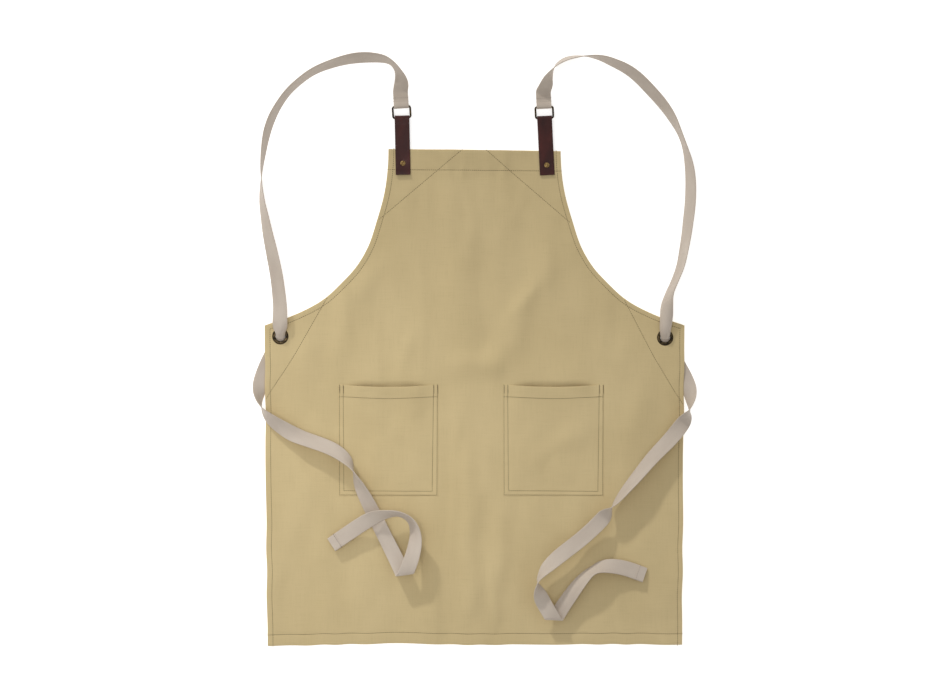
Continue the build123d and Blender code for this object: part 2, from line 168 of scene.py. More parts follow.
TIE_ROUTES = {
    "left": [
        (-0.320, 0.065, 0.0036, 0, 360),
        (-0.320, 0.0568, 0.0012, 0, 360),
        (-0.330, 0.043, 0.0010, -38, 360),
        (-0.340, 0.024, 0.0010, -20, 360),
        (-0.350, 0.000, 0.0012, 0, 358),
        (-0.3555, -0.024, 0.0090, 6, 323),
        (-0.3535, -0.049, 0.0146, 20, 270),
        (-0.337, -0.071, 0.017, 45, 222),
        (-0.306, -0.092, 0.016, 62, 188),
        (-0.286, -0.101, 0.015, 66, 156),
        (-0.262, -0.109, 0.017, 66, 154),
        (-0.232, -0.120, 0.022, 60, 152),
        (-0.209, -0.136, 0.024, 45, 132),
        (-0.199, -0.153, 0.024, 30, 92),
        (-0.189, -0.180, 0.021, 25, 44),
        (-0.174, -0.210, 0.016, 24, 20),
        (-0.159, -0.241, 0.013, 25, 14),
        (-0.141, -0.277, 0.014, 24, 12),
        (-0.128, -0.302, 0.018, 18, 4),
        (-0.121, -0.317, 0.021, 10, 0),
        (-0.1165, -0.3265, 0.024, 4, 0),
        (-0.1135, -0.3255, 0.030, 0, 0),
        (-0.105, -0.305, 0.033, -12, 8),
        (-0.098, -0.282, 0.031, -8, 22),
        (-0.096, -0.258, 0.027, 2, 42),
        (-0.103, -0.236, 0.0275, 32, 62),
        (-0.124, -0.224, 0.0290, 70, 68),
        (-0.148, -0.2265, 0.0285, 98, 52),
        (-0.165, -0.2315, 0.0250, 106, 28),
        (-0.180, -0.240, 0.0205, 114, 8),
        (-0.204, -0.256, 0.0150, 120, -6),
        (-0.224, -0.270, 0.0120, 124, -10),
    ],
    "right": [
        (0.314, 0.063, 0.0036, 0, 0),
        (0.314, 0.0548, 0.0012, 0, 0),
        (0.324, 0.041, 0.0010, 32, 0),
        (0.3335, 0.021, 0.0009, 18, 0),
        (0.3475, -0.003, 0.0009, 4, 0),
        (0.3560, -0.028, 0.0085, -2, 34),
        (0.3545, -0.055, 0.0146, -12, 88),
        (0.350, -0.067, 0.016, -24, 138),
        (0.341, -0.080, 0.016, -34, 176),
        (0.322, -0.104, 0.016, -42, 200),
        (0.294, -0.132, 0.017, -45, 214),
        (0.266, -0.165, 0.020, -46, 228),
        (0.240, -0.197, 0.022, -46, 246),
        (0.226, -0.215, 0.022, -46, 268),
        (0.2185, -0.2245, 0.022, -46, 318),
        (0.211, -0.233, 0.022, -47, 356),
        (0.196, -0.249, 0.023, -48, 374),
        (0.172, -0.270, 0.025, -50, 374),
        (0.141, -0.293, 0.028, -52, 374),
        (0.118, -0.313, 0.029, -42, 402),
        (0.106, -0.329, 0.029, -22, 436),
        (0.1025, -0.3385, 0.029, 0, 450),
        (0.1045, -0.351, 0.028, 14, 490),
        (0.109, -0.364, 0.025, 24, 526),
        (0.1165, -0.378, 0.024, 22, 548),
        (0.1245, -0.391, 0.0245, 12, 546),
        (0.1290, -0.3990, 0.0235, 4, 540),
        (0.1310, -0.4010, 0.0185, 0, 540),
        (0.1350, -0.3945, 0.0150, -10, 548),
        (0.150, -0.371, 0.015, -28, 562),
        (0.168, -0.345, 0.018, -38, 574),
        (0.183, -0.328, 0.019, -46, 592),
        (0.194, -0.319, 0.019, -56, 604),
        (0.207, -0.3135, 0.018, -68, 586),
        (0.222, -0.312, 0.017, -82, 566),
        (0.238, -0.314, 0.015, -94, 556),
        (0.254, -0.318, 0.013, -102, 552),
        (0.267, -0.323, 0.012, -106, 550),
    ],
}
TIE_END = 0.014

# A neck strap's sewn head and its first straight run
HEAD_LENGTH = 0.026
HEAD_RUN = 0.004


# ---- Camera ---------------------------------------------------------------------------------

LENS = 85
SENSOR = 36
CAMERA_PLACE = (0.0007, 0.0424, 3.70)


def make_camera():
    """Straight down, over the middle of the picture."""
    data = bpy.data.cameras.new("camera")
    data.lens = LENS
    data.sensor_width = SENSOR
    camera = bpy.data.objects.new("camera", data)
    camera.location = CAMERA_PLACE
    bpy.context.scene.collection.objects.link(camera)
    bpy.context.scene.camera = camera


# ---- Materials ------------------------------------------------------------------------------

# Display colours, 0 to 255, from the darkest to the lightest tone of each material
CANVAS_TONES = ((205, 185, 140), (213, 193, 148))
WEB_TONES = ((198, 185, 172), (209, 197, 184))
LEATHER_TONES = ((48, 14, 12), (62, 20, 17), (80, 30, 25))
DARK_BRASS_TONES = ((34, 28, 22), (104, 88, 62))
RIVET_BRASS_TONES = ((112, 88, 54), (206, 172, 112))
THREAD_TONES = ((70, 52, 28), (98, 78, 44))
PALE_THREAD_TONES = ((164, 152, 140), (182, 170, 158))
TIE_THREAD_TONES = ((112, 98, 88), (132, 118, 106))
FLOOR_GLOW = 0.56

# Distances between the yarns of the canvas, and between the webbing's ribs, warp yarns and zigzags
YARN_PITCH = 0.0011
RIB_PITCH = 0.0016
CORD_PITCH = 0.0012
ZIGZAG = 0.003


def linear(red, green, blue):
    """A display colour, 0 to 255, as scene-linear RGBA."""
    return tuple(((channel / 255 + 0.055) / 1.055) ** 2.4 for channel in (red, green, blue)) + (1,)


class Nodes:
    """A small builder for a material's node tree."""

    def __init__(self, name):
        self.material = bpy.data.materials.new(name)
        self.material.use_nodes = True
        self.tree = self.material.node_tree
        self.shader = self.tree.nodes["Principled BSDF"]

    def add(self, kind, settings=None, **inputs):
        """A node of that kind; inputs are named or numbered sockets, given a value or a link."""
        node = self.tree.nodes.new("ShaderNode" + kind)
        for key, value in (settings or {}).items():
            setattr(node, key, value)
        for key, value in inputs.items():
            socket = node.inputs[int(key[1:])] if key[0] == "_" else node.inputs[key]
            self.feed(socket, value)
        return node

    def feed(self, socket, value):
        """Link or set one socket."""
        if isinstance(value, bpy.types.Node):
            value = value.outputs[0]
        if isinstance(value, bpy.types.NodeSocket):
            self.tree.links.new(value, socket)
        else:
            socket.default_value = value

    def math(self, operation, first, second=0.0, third=0.0):
        """One Math node."""
        return self.add("Math", {"operation": operation}, _0=first, _1=second, _2=third)

    def stretched_noise(self, coords, scale, detail=3.0):
        """Noise stretched by a scale of its own along each axis."""
        mapping = self.add("Mapping", Vector=coords, Scale=scale)
        return self.add("TexNoise", Vector=mapping, Scale=1.0, Detail=detail)

    def ramp(self, factor, *stops):
        """A ramp through (place, value) stops, each value a grey or a linear colour."""
        node = self.add("ValToRGB", Fac=factor)
        elements = node.color_ramp.elements
        while len(elements) < len(stops):
            elements.new(0.5)
        for element, (place, colour) in zip(elements, stops):
            element.position = place
            element.color = colour if isinstance(colour, tuple) else (colour, colour, colour, 1)
        return node

    def tones(self, factor, places, tones):
        """A ramp of a material's display colours."""
        return self.ramp(factor, *[(place, linear(*tone)) for place, tone in zip(places, tones)])

    def mix(self, factor, first, second, blend="MIX"):
        """Mix two colours."""
        node = self.add("Mix", {"data_type": "RGBA", "blend_type": blend})
        for index, value in ((0, factor), (6, first), (7, second)):
            self.feed(node.inputs[index], value)
        return node.outputs[2]

    def bump(self, height, strength, distance, below=None):
        """A bump, on top of another where there is one."""
        node = self.add("Bump", Height=height, Strength=strength, Distance=distance)
        if below is not None:
            self.feed(node.inputs["Normal"], below)
        return node

    def finish(self, **sockets):
        """Set the shader's own sockets."""
        for key, value in sockets.items():
            self.feed(self.shader.inputs[key.replace("_", " ")], value)
        return self.material


def canvas_material():
    """Plain-weave cotton canvas: crossing yarns, slubs and a faint uneven dye."""
    n = Nodes("canvas")
    coords = n.add("TexCoord").outputs["Object"]
    axes = n.add("SeparateXYZ", Vector=coords)
    yarns = 2 * math.pi / YARN_PITCH
    across = n.math("SINE", n.math("MULTIPLY", axes.outputs["X"], yarns))
    along = n.math("SINE", n.math("MULTIPLY", axes.outputs["Y"], yarns))
    weave = n.math("MULTIPLY", across, along)
    warp = n.stretched_noise(coords, (1100, 26, 26), 2)
    weft = n.stretched_noise(coords, (30, 1100, 30), 2)
    cloudy = n.stretched_noise(coords, (7, 6, 7), 3)
    slub = n.math("ADD", warp.outputs["Fac"], weft.outputs["Fac"])
    dye = n.tones(cloudy.outputs["Fac"], (0.3, 0.7), CANVAS_TONES)
    yarn_tone = n.ramp(slub, (0.65, (0.95, 0.95, 0.94, 1)), (1.0, 1.02))
    colour = n.mix(1.0, dye, yarn_tone, "MULTIPLY")
    cloth = n.bump(slub, 0.35, 0.0003)
    return n.finish(
        Base_Color=colour,
        Roughness=0.92,
        Sheen_Weight=0.15,
        Sheen_Roughness=0.5,
        Specular_IOR_Level=0.2,
        Normal=n.bump(weave, 0.35, 0.00012, cloth),
    )


def webbing_material():
    """Ribbed cotton webbing: picks across the strap and fine warp yarns along it, with shade
    painted into its colour between the ribs.
    """
    n = Nodes("webbing")
    coords = n.add("UVMap", {"uv_map": "cloth"})
    axes = n.add("SeparateXYZ", Vector=coords)
    zigzag = n.math("PINGPONG", axes.outputs["X"], ZIGZAG)
    run = n.math("ADD", axes.outputs["Y"], zigzag)
    ribs = n.math("SINE", n.math("MULTIPLY", run, 2 * math.pi / RIB_PITCH))
    cords = n.math("SINE", n.math("MULTIPLY", axes.outputs["X"], 2 * math.pi / CORD_PITCH))
    weave = n.math("ADD", n.math("MULTIPLY", ribs, 0.7), n.math("MULTIPLY", cords, 0.3))
    yarn = n.stretched_noise(coords, (900, 60, 1), 2)
    cloudy = n.stretched_noise(coords, (40, 14, 1), 3)
    tone = n.tones(cloudy.outputs["Fac"], (0.3, 0.7), WEB_TONES)
    shade = n.math("MULTIPLY_ADD", weave, 0.5, 0.5)
    # painted shade: the colour is darkened in the grooves between the ribs, where shade falls
    painted_rib_shade = n.ramp(shade, (0.1, (0.9, 0.89, 0.88, 1)), (0.7, 1))
    colour = n.mix(1.0, tone, painted_rib_shade, "MULTIPLY")
    fibres = n.bump(yarn.outputs["Fac"], 0.3, 0.0002)
    return n.finish(
        Base_Color=colour,
        Roughness=0.9,
        Sheen_Weight=0.2,
        Sheen_Roughness=0.5,
        Specular_IOR_Level=0.2,
        Normal=n.bump(weave, 0.4, 0.00018, fibres),
    )


def leather_material():
    """Smooth dyed leather with fine pores, soft creases and rubbed patches."""
    n = Nodes("leather")
    coords = n.add("TexCoord").outputs["Object"]
    pores = n.add("TexVoronoi", {"feature": "DISTANCE_TO_EDGE"}, Vector=coords, Scale=900.0)
    creases = n.stretched_noise(coords, (120, 420, 200), 4)
    rub = n.stretched_noise(coords, (60, 25, 60), 3)
    colour = n.tones(rub.outputs["Fac"], (0.3, 0.55, 0.8), LEATHER_TONES)
    gloss = n.ramp(rub.outputs["Fac"], (0.3, 0.44), (0.75, 0.33))
    grain = n.bump(pores.outputs["Distance"], 0.25, 0.0002)
    return n.finish(
        Base_Color=colour,
        Roughness=gloss,
        Specular_IOR_Level=0.35,
        Coat_Weight=0.06,
        Coat_Roughness=0.35,
        Normal=n.bump(creases.outputs["Fac"], 0.25, 0.0004, grain),
    )


def brass_material(name, tones, roughness):
    """Antiqued brass: a dark patina, rubbed bright in spots."""
    n = Nodes(name)
    coords = n.add("TexCoord").outputs["Object"]
    rub = n.add("TexNoise", Vector=coords, Scale=260.0, Detail=5.0)
    pits = n.add("TexNoise", Vector=coords, Scale=1800.0, Detail=3.0)
    colour = n.tones(rub.outputs["Fac"], (0.38, 0.72), tones)
    dull = n.ramp(rub.outputs["Fac"], (0.35, roughness + 0.12), (0.7, roughness))
    return n.finish(
        Base_Color=colour,
        Metallic=0.9,
        Roughness=dull,
        Normal=n.bump(pits.outputs["Fac"], 0.25, 0.0001),
    )


def thread_material(name, tones):
    """Twisted sewing thread."""
    n = Nodes(name)
    coords = n.add("TexCoord").outputs["Object"]
    twist = n.add("TexNoise", Vector=coords, Scale=1500.0, Detail=2.0)
    return n.finish(
        Base_Color=n.tones(twist.outputs["Fac"], (0.3, 0.7), tones),
        Roughness=0.6,
        Normal=n.bump(twist.outputs["Fac"], 0.4, 0.0002),
    )


def floor_material():
    """A plain near-white studio surface."""
    n = Nodes("floor")
    return n.finish(
        Base_Color=linear(250, 250, 250),
        Roughness=0.9,
        Specular_IOR_Level=0.1,
        Emission_Color=(1, 1, 1, 1),
        Emission_Strength=FLOOR_GLOW,
    )


MATERIALS = {
    "canvas": canvas_material(),
    "webbing": webbing_material(),
    "leather": leather_material(),
    "dark_brass": brass_material("dark_brass", DARK_BRASS_TONES, 0.36),
    "rivet_brass": brass_material("rivet_brass", RIVET_BRASS_TONES, 0.26),
    "thread": thread_material("thread", THREAD_TONES),
    "pale_thread": thread_material("pale_thread", PALE_THREAD_TONES),
    "tie_thread": thread_material("tie_thread", TIE_THREAD_TONES),
}


# ---- Meshes ---------------------------------------------------------------------------------


SHARP_ANGLE = 55


def add_piece(name, points, faces, material, body="apron", replaces=(), uv=None):
    """A smooth mesh with its material, slot, body and the CAD nodes it stands for."""
    mesh = bpy.data.meshes.new(name)
    mesh.from_pydata([tuple(point) for point in points], [], [tuple(face) for face in faces])
    mesh.validate()
    mesh.polygons.foreach_set("use_smooth", [True] * len(mesh.polygons))
    mesh.set_sharp_from_angle(angle=math.radians(SHARP_ANGLE))
    if uv is not None:
        layer = mesh.uv_layers.new(name="cloth")
        loops = np.empty(len(mesh.loops), dtype=int)
        mesh.loops.foreach_get("vertex_index", loops)
        layer.data.foreach_set("uv", np.asarray(uv, float)[loops].ravel())
    mesh.materials.append(MATERIALS[material])
    piece = bpy.data.objects.new(name, mesh)
    bpy.context.scene.collection.objects.link(piece)
    if replaces:
        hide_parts(*replaces)
    if body:
        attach(piece, body)
    return piece


def grid_faces(rows, columns, wrap_rows=False, wrap_columns=False, start=0):
    """Quads between the rows and columns of a grid of points."""
    faces = []
    for row in range(rows if wrap_rows else rows - 1):
        here = row * columns
        above = (row + 1) % rows * columns
        for column in range(columns if wrap_columns else columns - 1):
            beside = (column + 1) % columns
            quad = (here + column, here + beside, above + beside, above + column)
            faces.append(tuple(start + index for index in quad))
    return faces


def smooth(low, high, value):
    """Zero below low, one above high, and an S between."""
    share = np.clip((value - low) / (high - low), 0, 1)
    return share * share * (3 - 2 * share)


def revolve(name, profile, centre, material, body, replaces, axle=False, turns=72):
    """A turned piece. A closed profile of (radius, height) points, or one that ends on the axle."""
    angles = np.linspace(0, 2 * math.pi, turns, endpoint=False)
    points = []
    rows = [pair for pair in profile if pair[0] > 0]
    for radius, height in rows:
        for angle in angles:
            x = centre[0] + radius * math.cos(angle)
            points.append((x, centre[1] + radius * math.sin(angle), height))
    faces = grid_faces(len(rows), turns, not axle, True)
    if axle:
        for end, row in ((profile[0], 0), (profile[-1], len(rows) - 1)):
            points.append((centre[0], centre[1], end[1]))
            ring = [row * turns + step for step in range(turns)]
            for pair in zip(ring, ring[1:] + ring[:1]):
                faces.append((len(points) - 1, *(reversed(pair) if row == 0 else pair)))
    return add_piece(name, points, faces, material, body, replaces)


# ---- Cloth outline and seams ----------------------------------------------------------------

EDGE_STEP = 0.0026


def lengths(line):
    """How far along a line each of its points is."""
    return np.concatenate([[0], np.cumsum(np.linalg.norm(np.diff(line, axis=0), axis=1))])


def signed_area(loop):
    """The area inside a closed loop, positive where it runs counter-clockwise."""
    x, y = loop[:, 0], loop[:, 1]
    return 0.5 * np.sum(x * np.roll(y, -1) - np.roll(x, -1) * y)


def resample(line, step):
    """Evenly spaced points along an open line, its ends included."""
    line = np.asarray(line, float)
    along = lengths(line)
    count = max(2, int(round(along[-1] / step)) + 1)
    places = np.linspace(0, along[-1], count)
    columns = [np.interp(places, along, line[:, axis]) for axis in range(line.shape[1])]
    return np.column_stack(columns)


def armhole_line(side):
    """The armhole from the bib's corner to the side corner, as one smooth curve."""
    knots = [(BIB_HALF_WIDTH, 0.0), *ARMHOLE, (SIDE_HALF_WIDTH, BIB_Y - SIDE_Y)]
    knots = np.array([(side * half, BIB_Y - depth) for half, depth in knots])
    runs = np.linalg.norm(np.diff(knots, axis=0), axis=1)
    slopes = np.gradient(knots, lengths(knots), axis=0)
    slopes[0] = (0, -1)
    slopes[-1] = (side * 0.93, -0.36)
    points = []
    for i, run in enumerate(runs):
        for share in np.linspace(0, 1, 24, endpoint=False):
            two, three = share * share, share**3
            points.append(
                (2 * three - 3 * two + 1) * knots[i]
                + (three - 2 * two + share) * run * slopes[i]
                + (3 * two - 2 * three) * knots[i + 1]
                + (three - two) * run * slopes[i + 1]
            )
    points.append(knots[-1])
    return resample(points, EDGE_STEP)


def side_line(side):
    """The side edge from the side corner down to the bottom corner."""
    ends = [(side * SIDE_HALF_WIDTH, SIDE_Y), (side * BOTTOM_HALF_WIDTH, BOTTOM_Y)]
    return resample(ends, EDGE_STEP)


def normals(line, closed=False):
    """Unit normals to the right of the way along a line, longer at corners so that insets meet."""
    if closed:
        before = line - np.roll(line, 1, axis=0)
        after = np.roll(line, -1, axis=0) - line
    else:
        runs = np.diff(line, axis=0)
        before = np.vstack([runs[:1], runs])
        after = np.vstack([runs, runs[-1:]])
    before = before / np.linalg.norm(before, axis=1)[:, None]
    after = after / np.linalg.norm(after, axis=1)[:, None]
    middle = before + after
    middle /= np.linalg.norm(middle, axis=1)[:, None]
    stretch = np.clip(np.sum(middle * before, axis=1), 0.55, 1)
    return np.column_stack([middle[:, 1], -middle[:, 0]]) / stretch[:, None]


def inset(line, side, distance):
    """An open edge line moved into the cloth. Edge lines run down the apron on either side."""
    return line + normals(line) * distance * side


def outline():
    """The whole edge, counter-clockwise from the bottom left corner."""
    bottom = resample([(-BOTTOM_HALF_WIDTH, BOTTOM_Y), (BOTTOM_HALF_WIDTH, BOTTOM_Y)], EDGE_STEP)
    top = resample([(BIB_HALF_WIDTH, BIB_Y), (-BIB_HALF_WIDTH, BIB_Y)], EDGE_STEP)
    right = [side_line(1)[::-1], armhole_line(1)[::-1]]
    left = [armhole_line(-1), side_line(-1)]
    return np.vstack([part[:-1] for part in [bottom, *right, top, *left]])


OUTLINE = outline()
SEAM_INSET = {"left": 0.0088, "right": 0.0076}
BIB_SEAM_Y = BIB_Y - 0.0335
BOTTOM_SEAM_Y = BOTTOM_Y + 0.0185
BIB_PATCH_SEAMS = {
    "left": [(-0.021, 0.3715), (-0.157, 0.258)],
    "right": [(0.020, 0.3715), (0.156, 0.2535)],
}
SIDE_PATCH_SEAMS = {
    "left": [(-0.2435, 0.1275), (-0.292, 0.042), (-0.3425, -0.037)],
    "right": [(0.2475, 0.1235), (0.298, 0.026), (0.3425, -0.046)],
}
POCKET_ROWS = (0.0013, 0.0075)


def edge_seams():
    """Seam lines of the hems, as open lines of flat places."""
    seams = []
    for name, side in SIDES.items():
        reach = SEAM_INSET[name]
        arm = inset(armhole_line(side), side, reach)
        flank = inset(side_line(side), side, reach)
        limit = SIDE_HALF_WIDTH - reach
        seams.append(arm[np.abs(arm[:, 0]) < limit])
        seams.append(flank[flank[:, 1] < arm[np.abs(arm[:, 0]) < limit][-1, 1]])
    seams.append(resample([(-0.1425, BIB_SEAM_Y), (0.1425, BIB_SEAM_Y)], EDGE_STEP))
    seams.append(resample([(-0.341, BOTTOM_SEAM_Y), (0.341, BOTTOM_SEAM_Y)], EDGE_STEP))
    return seams


def patch_seams():
    """Seam lines of the four reinforcement patches."""
    lines = list(BIB_PATCH_SEAMS.values()) + list(SIDE_PATCH_SEAMS.values())
    return [resample(line, EDGE_STEP) for line in lines]


def pocket_seams(name):
    """The two rows of stitching down and round a pocket, a little crooked at their corners."""
    left, right, bottom, top = POCKETS[name]
    seams = []
    for reach, crooked in zip(POCKET_ROWS, (0.0004, 0.0012)):
        corners = [
            (left + reach, top - 0.001),
            (left + reach + crooked, bottom + reach + crooked),
            (right - reach - 2 * crooked, bottom + reach),
            (right - reach, top - 0.001),
        ]
        seams.append(resample(corners, EDGE_STEP))
    return seams


SEAMS = edge_seams() + patch_seams()
POCKET_SEAMS = {name: pocket_seams(name) for name in POCKETS}
ALL_SEAMS = SEAMS + [line for lines in POCKET_SEAMS.values() for line in lines]
SEARCH_STEP = 0.0009


def seam_tree():
    """A search tree of all seam places, and for each the phase of the puckers beside it."""
    places = []
    phases = []
    for number, line in enumerate(ALL_SEAMS):
        fine = resample(line, SEARCH_STEP)
        places.extend(fine)
        phases.extend(number * 0.37 + SEARCH_STEP * np.arange(len(fine)))
    tree = kdtree.KDTree(len(places))
    for index, (x, y) in enumerate(places):
        tree.insert((x, y, 0), index)
    tree.balance()
    return tree, phases


SEAM_TREE, SEAM_PHASES = seam_tree()

# Soft folds in the cloth as it lies: from, to, half width, height
FOLDS = [
    ((-0.036, 0.300), (-0.008, 0.060), 0.024, 0.0030),
    ((0.120, 0.210), (0.060, 0.050), 0.020, 0.0032),
    ((0.055, 0.060), (0.020, 0.010), 0.022, 0.0026),
    ((-0.150, 0.200), (-0.205, 0.110), 0.020, 0.0026),
    ((-0.222, 0.120), (-0.218, 0.010), 0.016, 0.0026),
    ((-0.105, 0.080), (-0.118, 0.005), 0.014, 0.0020),
    ((-0.272, 0.060), (-0.280, -0.010), 0.020, 0.0022),
    ((0.262, 0.060), (0.275, -0.120), 0.024, 0.0030),
    ((-0.012, -0.130), (-0.006, -0.400), 0.017, 0.0030),
    ((0.044, -0.230), (0.036, -0.400), 0.015, 0.0024),
    ((-0.075, -0.300), (-0.070, -0.420), 0.018, 0.0018),
    ((-0.045, 0.022), (0.055, 0.014), 0.020, 0.0024),
    ((-0.290, -0.160), (-0.270, -0.330), 0.040, 0.0020),
    ((0.290, -0.250), (0.300, -0.400), 0.030, 0.0022),
    ((-0.085, 0.330), (-0.075, 0.250), 0.010, 0.0012),
    ((0.085, 0.330), (0.070, 0.270), 0.010, 0.0010),
    ((-0.158, 0.110), (-0.158, -0.005), 0.005, 0.0006),
    ((-0.012, 0.330), (-0.004, 0.200), 0.010, 0.0013),
    ((-0.094, 0.215), (-0.084, 0.130), 0.010, 0.0013),
    ((0.118, 0.205), (0.124, 0.135), 0.009, 0.0012),
    ((0.102, 0.155), (0.056, 0.088), 0.010, 0.0012),
    ((-0.240, 0.140), (-0.176, 0.205), 0.007, 0.0009),
    ((-0.215, 0.150), (-0.206, 0.050), 0.008, 0.0011),
    ((-0.084, 0.100), (-0.088, 0.005), 0.008, 0.0010),
    ((-0.030, -0.060), (-0.038, -0.300), 0.008, 0.0012),
    ((0.028, -0.290), (0.034, -0.420), 0.008, 0.0011),
    ((-0.066, -0.330), (-0.060, -0.430), 0.007, 0.0009),
    ((0.270, 0.110), (0.330, 0.040), 0.009, 0.0010),
    ((0.150, -0.250), (0.190, -0.300), 0.012, 0.0010),
    ((-0.180, -0.060), (-0.080, -0.110), 0.016, 0.0012),
    ((0.080, -0.150), (0.180, -0.090), 0.018, 0.0013),
    ((-0.320, -0.080), (-0.250, -0.220), 0.014, 0.0012),
    ((0.225, -0.330), (0.250, -0.430), 0.010, 0.0012),
    ((-0.046, 0.365), (-0.042, 0.330), 0.004, 0.0010),
    ((-0.016, 0.365), (-0.020, 0.325), 0.005, 0.0009),
    ((0.022, 0.365), (0.026, 0.330), 0.004, 0.0010),
    ((0.052, 0.365), (0.046, 0.325), 0.005, 0.0010),
]
FOLD_GAIN = 1.35
FOLD_END = 0.035
RUMPLE = 0.0017
BIB_RISE = 0.0050
MOUTH_RISE = 0.0024
MOUTH_FALL = 0.0034
LOWEST = -0.0013

# The groove along a seam and the puckers beside it: depth, width, and how far they are looked for
GROOVE = 0.00032
GROOVE_WIDTH = 0.0013
PUCKER = 0.00055
PUCKER_WIDTH = 0.0055
PUCKER_REACH = 0.012

# How far the bottom edge rises at each place across it, how far it flutters, and the bib's slant
BOTTOM_WAVE = [
    (-0.3415, 0.0000),
    (-0.230, 0.0030),
    (-0.123, 0.0050),
    (0.000, 0.0022),
    (0.120, 0.0030),
    (0.240, 0.0034),
    (0.3415, 0.0026),
]
FLUTTER = 0.0005
SIDE_FLUTTER = 0.0006
BIB_SLANT = 0.0018


def noise_at(x, y, layer):
    """Smooth noise at each of the places."""
    return np.array([noise.noise(Vector((a, b, layer))) for a, b in zip(x, y)])


def rumple(x, y):
    """Small soft creases, longer down the cloth than across it, and stronger in the bib's hem."""
    creases = noise_at(x / 0.030, y / 0.075, 7.7)
    cross = noise_at(x / 0.018 + y / 0.05, y / 0.022, 2.2)
    return creases + 0.25 * cross * (1 + 2.0 * smooth(BIB_Y - 0.06, BIB_Y - 0.03, y))


def fold_height(x, y, mouths=True):
    """How far the soft folds lift the cloth. At the pockets' mouths the panel falls away."""
    height = 0.0007 * np.cos(2 * math.pi * (x / 0.19 + 0.2 * np.sin(y / 0.11)))
    height += 0.0005 * np.cos(2 * math.pi * (x / 0.083 + 0.3 * np.sin(y / 0.17) + 0.2))
    height += 0.0006 * np.cos(2 * math.pi * (y / 0.26 + 0.25 * np.sin(x / 0.13)))
    height += RUMPLE * rumple(x, y)
    height += BIB_RISE * smooth(BIB_Y - 0.050, BIB_Y + 0.010, y)
    for start, end, half_width, peak in FOLDS:
        way = np.subtract(end, start)
        length = np.hypot(*way)
        way = way / length
        along = (x - start[0]) * way[0] + (y - start[1]) * way[1]
        aside = (y - start[1]) * way[0] - (x - start[0]) * way[1]
        aside = aside + 0.25 * half_width * np.sin(along / 0.021 + 40 * peak / 0.001)
        ends = smooth(-FOLD_END, FOLD_END, along) * smooth(-FOLD_END, FOLD_END, length - along)
        height += FOLD_GAIN * peak * ends * np.exp(-((aside / half_width) ** 2))
    for left, right, _, top in POCKETS.values():
        window = smooth(left + 0.002, left + 0.05, x) * smooth(right - 0.002, right - 0.05, x)
        height += window * MOUTH_RISE * np.exp(-(((y - top - 0.004) / 0.034) ** 2))
        if mouths:
            fall = smooth(0.0055, -0.0040, y - top) * smooth(-0.060, -0.020, y - top)
            height -= window * MOUTH_FALL * fall
    for (rivet_x, rivet_y), *_ in TABS.values():
        away = np.hypot((x - rivet_x) / 0.8, y - rivet_y - 0.005)
        height = height * smooth(0.022, 0.060, away)
    for hole_x, hole_y in GROMMETS.values():
        height = height * smooth(0.016, 0.050, np.hypot(x - hole_x, y - hole_y))
    return np.maximum(height, LOWEST)


def seam_relief(x, y):
    """The groove that a seam pulls into the cloth, and the puckers beside it."""
    relief = np.zeros(len(x))
    for index in range(len(x)):
        _, nearest, gap = SEAM_TREE.find((x[index], y[index], 0))
        if gap < PUCKER_REACH:
            phase = SEAM_PHASES[nearest]
            pucker = noise.noise(Vector((phase / 0.0065, 3.3, gap / 0.02)))
            relief[index] = PUCKER * pucker * math.exp(-((gap / PUCKER_WIDTH) ** 2))
            relief[index] -= GROOVE * math.exp(-((gap / GROOVE_WIDTH) ** 2))
    return relief


def lay(places, level=0.0, relief=1.0, mouths=True):
    """Flat places of the cloth, and a level below or above its front, as it really lies. relief is
    the share of the seams' grooves and puckers that shows."""
    places = np.asarray(places, float)
    x, y = places[:, 0], places[:, 1]
    z = PANEL_FRONT + level + fold_height(x, y, mouths)
    if relief:
        z = z + relief * seam_relief(x, y)
    wave_x, wave_y = zip(*BOTTOM_WAVE)
    low = 0.5 * (np.interp(x - 0.02, wave_x, wave_y) + np.interp(x + 0.02, wave_x, wave_y))
    flutter = FLUTTER * np.sin(x / 0.011 + 2 * np.sin(x / 0.037))
    near_bottom = 1 - smooth(0.0, 0.10, y - BOTTOM_Y)
    near_top = smooth(BIB_Y - 0.09, BIB_Y, y)
    new_y = y + near_bottom * (low + flutter) - near_top * x / BIB_HALF_WIDTH * BIB_SLANT
    sideways = SIDE_FLUTTER * np.sin(y / 0.019 + 1.5 * np.sin(y / 0.05))
    sideways = sideways * smooth(0.0, 0.1, SIDE_Y - y)
    new_x = x + sideways * smooth(0.2, 0.34, np.abs(x))
    return np.column_stack([new_x, new_y, z])


# ---- Cloth pieces ---------------------------------------------------------------------------

PANEL_GRID = 0.005
POCKET_GRID = 0.0045
LOOP_STEP = 0.004
CLOSEST = 0.0016
SEAM_ROWS = (0, -0.0022, 0.0022, -0.0044, 0.0044)
ROLL_ANGLES = (35, 70, 105, 140, 180)
ROLL_TUCK = 0.0015
RIM_POINTS = 40
BACK_RELIEF = 0.5


def thin(points, gap):
    """Leave out each point that is nearer than the gap to one already taken."""
    taken = {}
    kept = []
    for x, y in points:
        cell = (int(x // gap), int(y // gap))
        crowd = False
        for step_x in (-1, 0, 1):
            for step_y in (-1, 0, 1):
                for other in taken.get((cell[0] + step_x, cell[1] + step_y), ()):
                    if (other[0] - x) ** 2 + (other[1] - y) ** 2 < gap * gap:
                        crowd = True
        if not crowd:
            taken.setdefault(cell, []).append((x, y))
            kept.append((x, y))
    return np.array(kept).reshape(-1, 2)


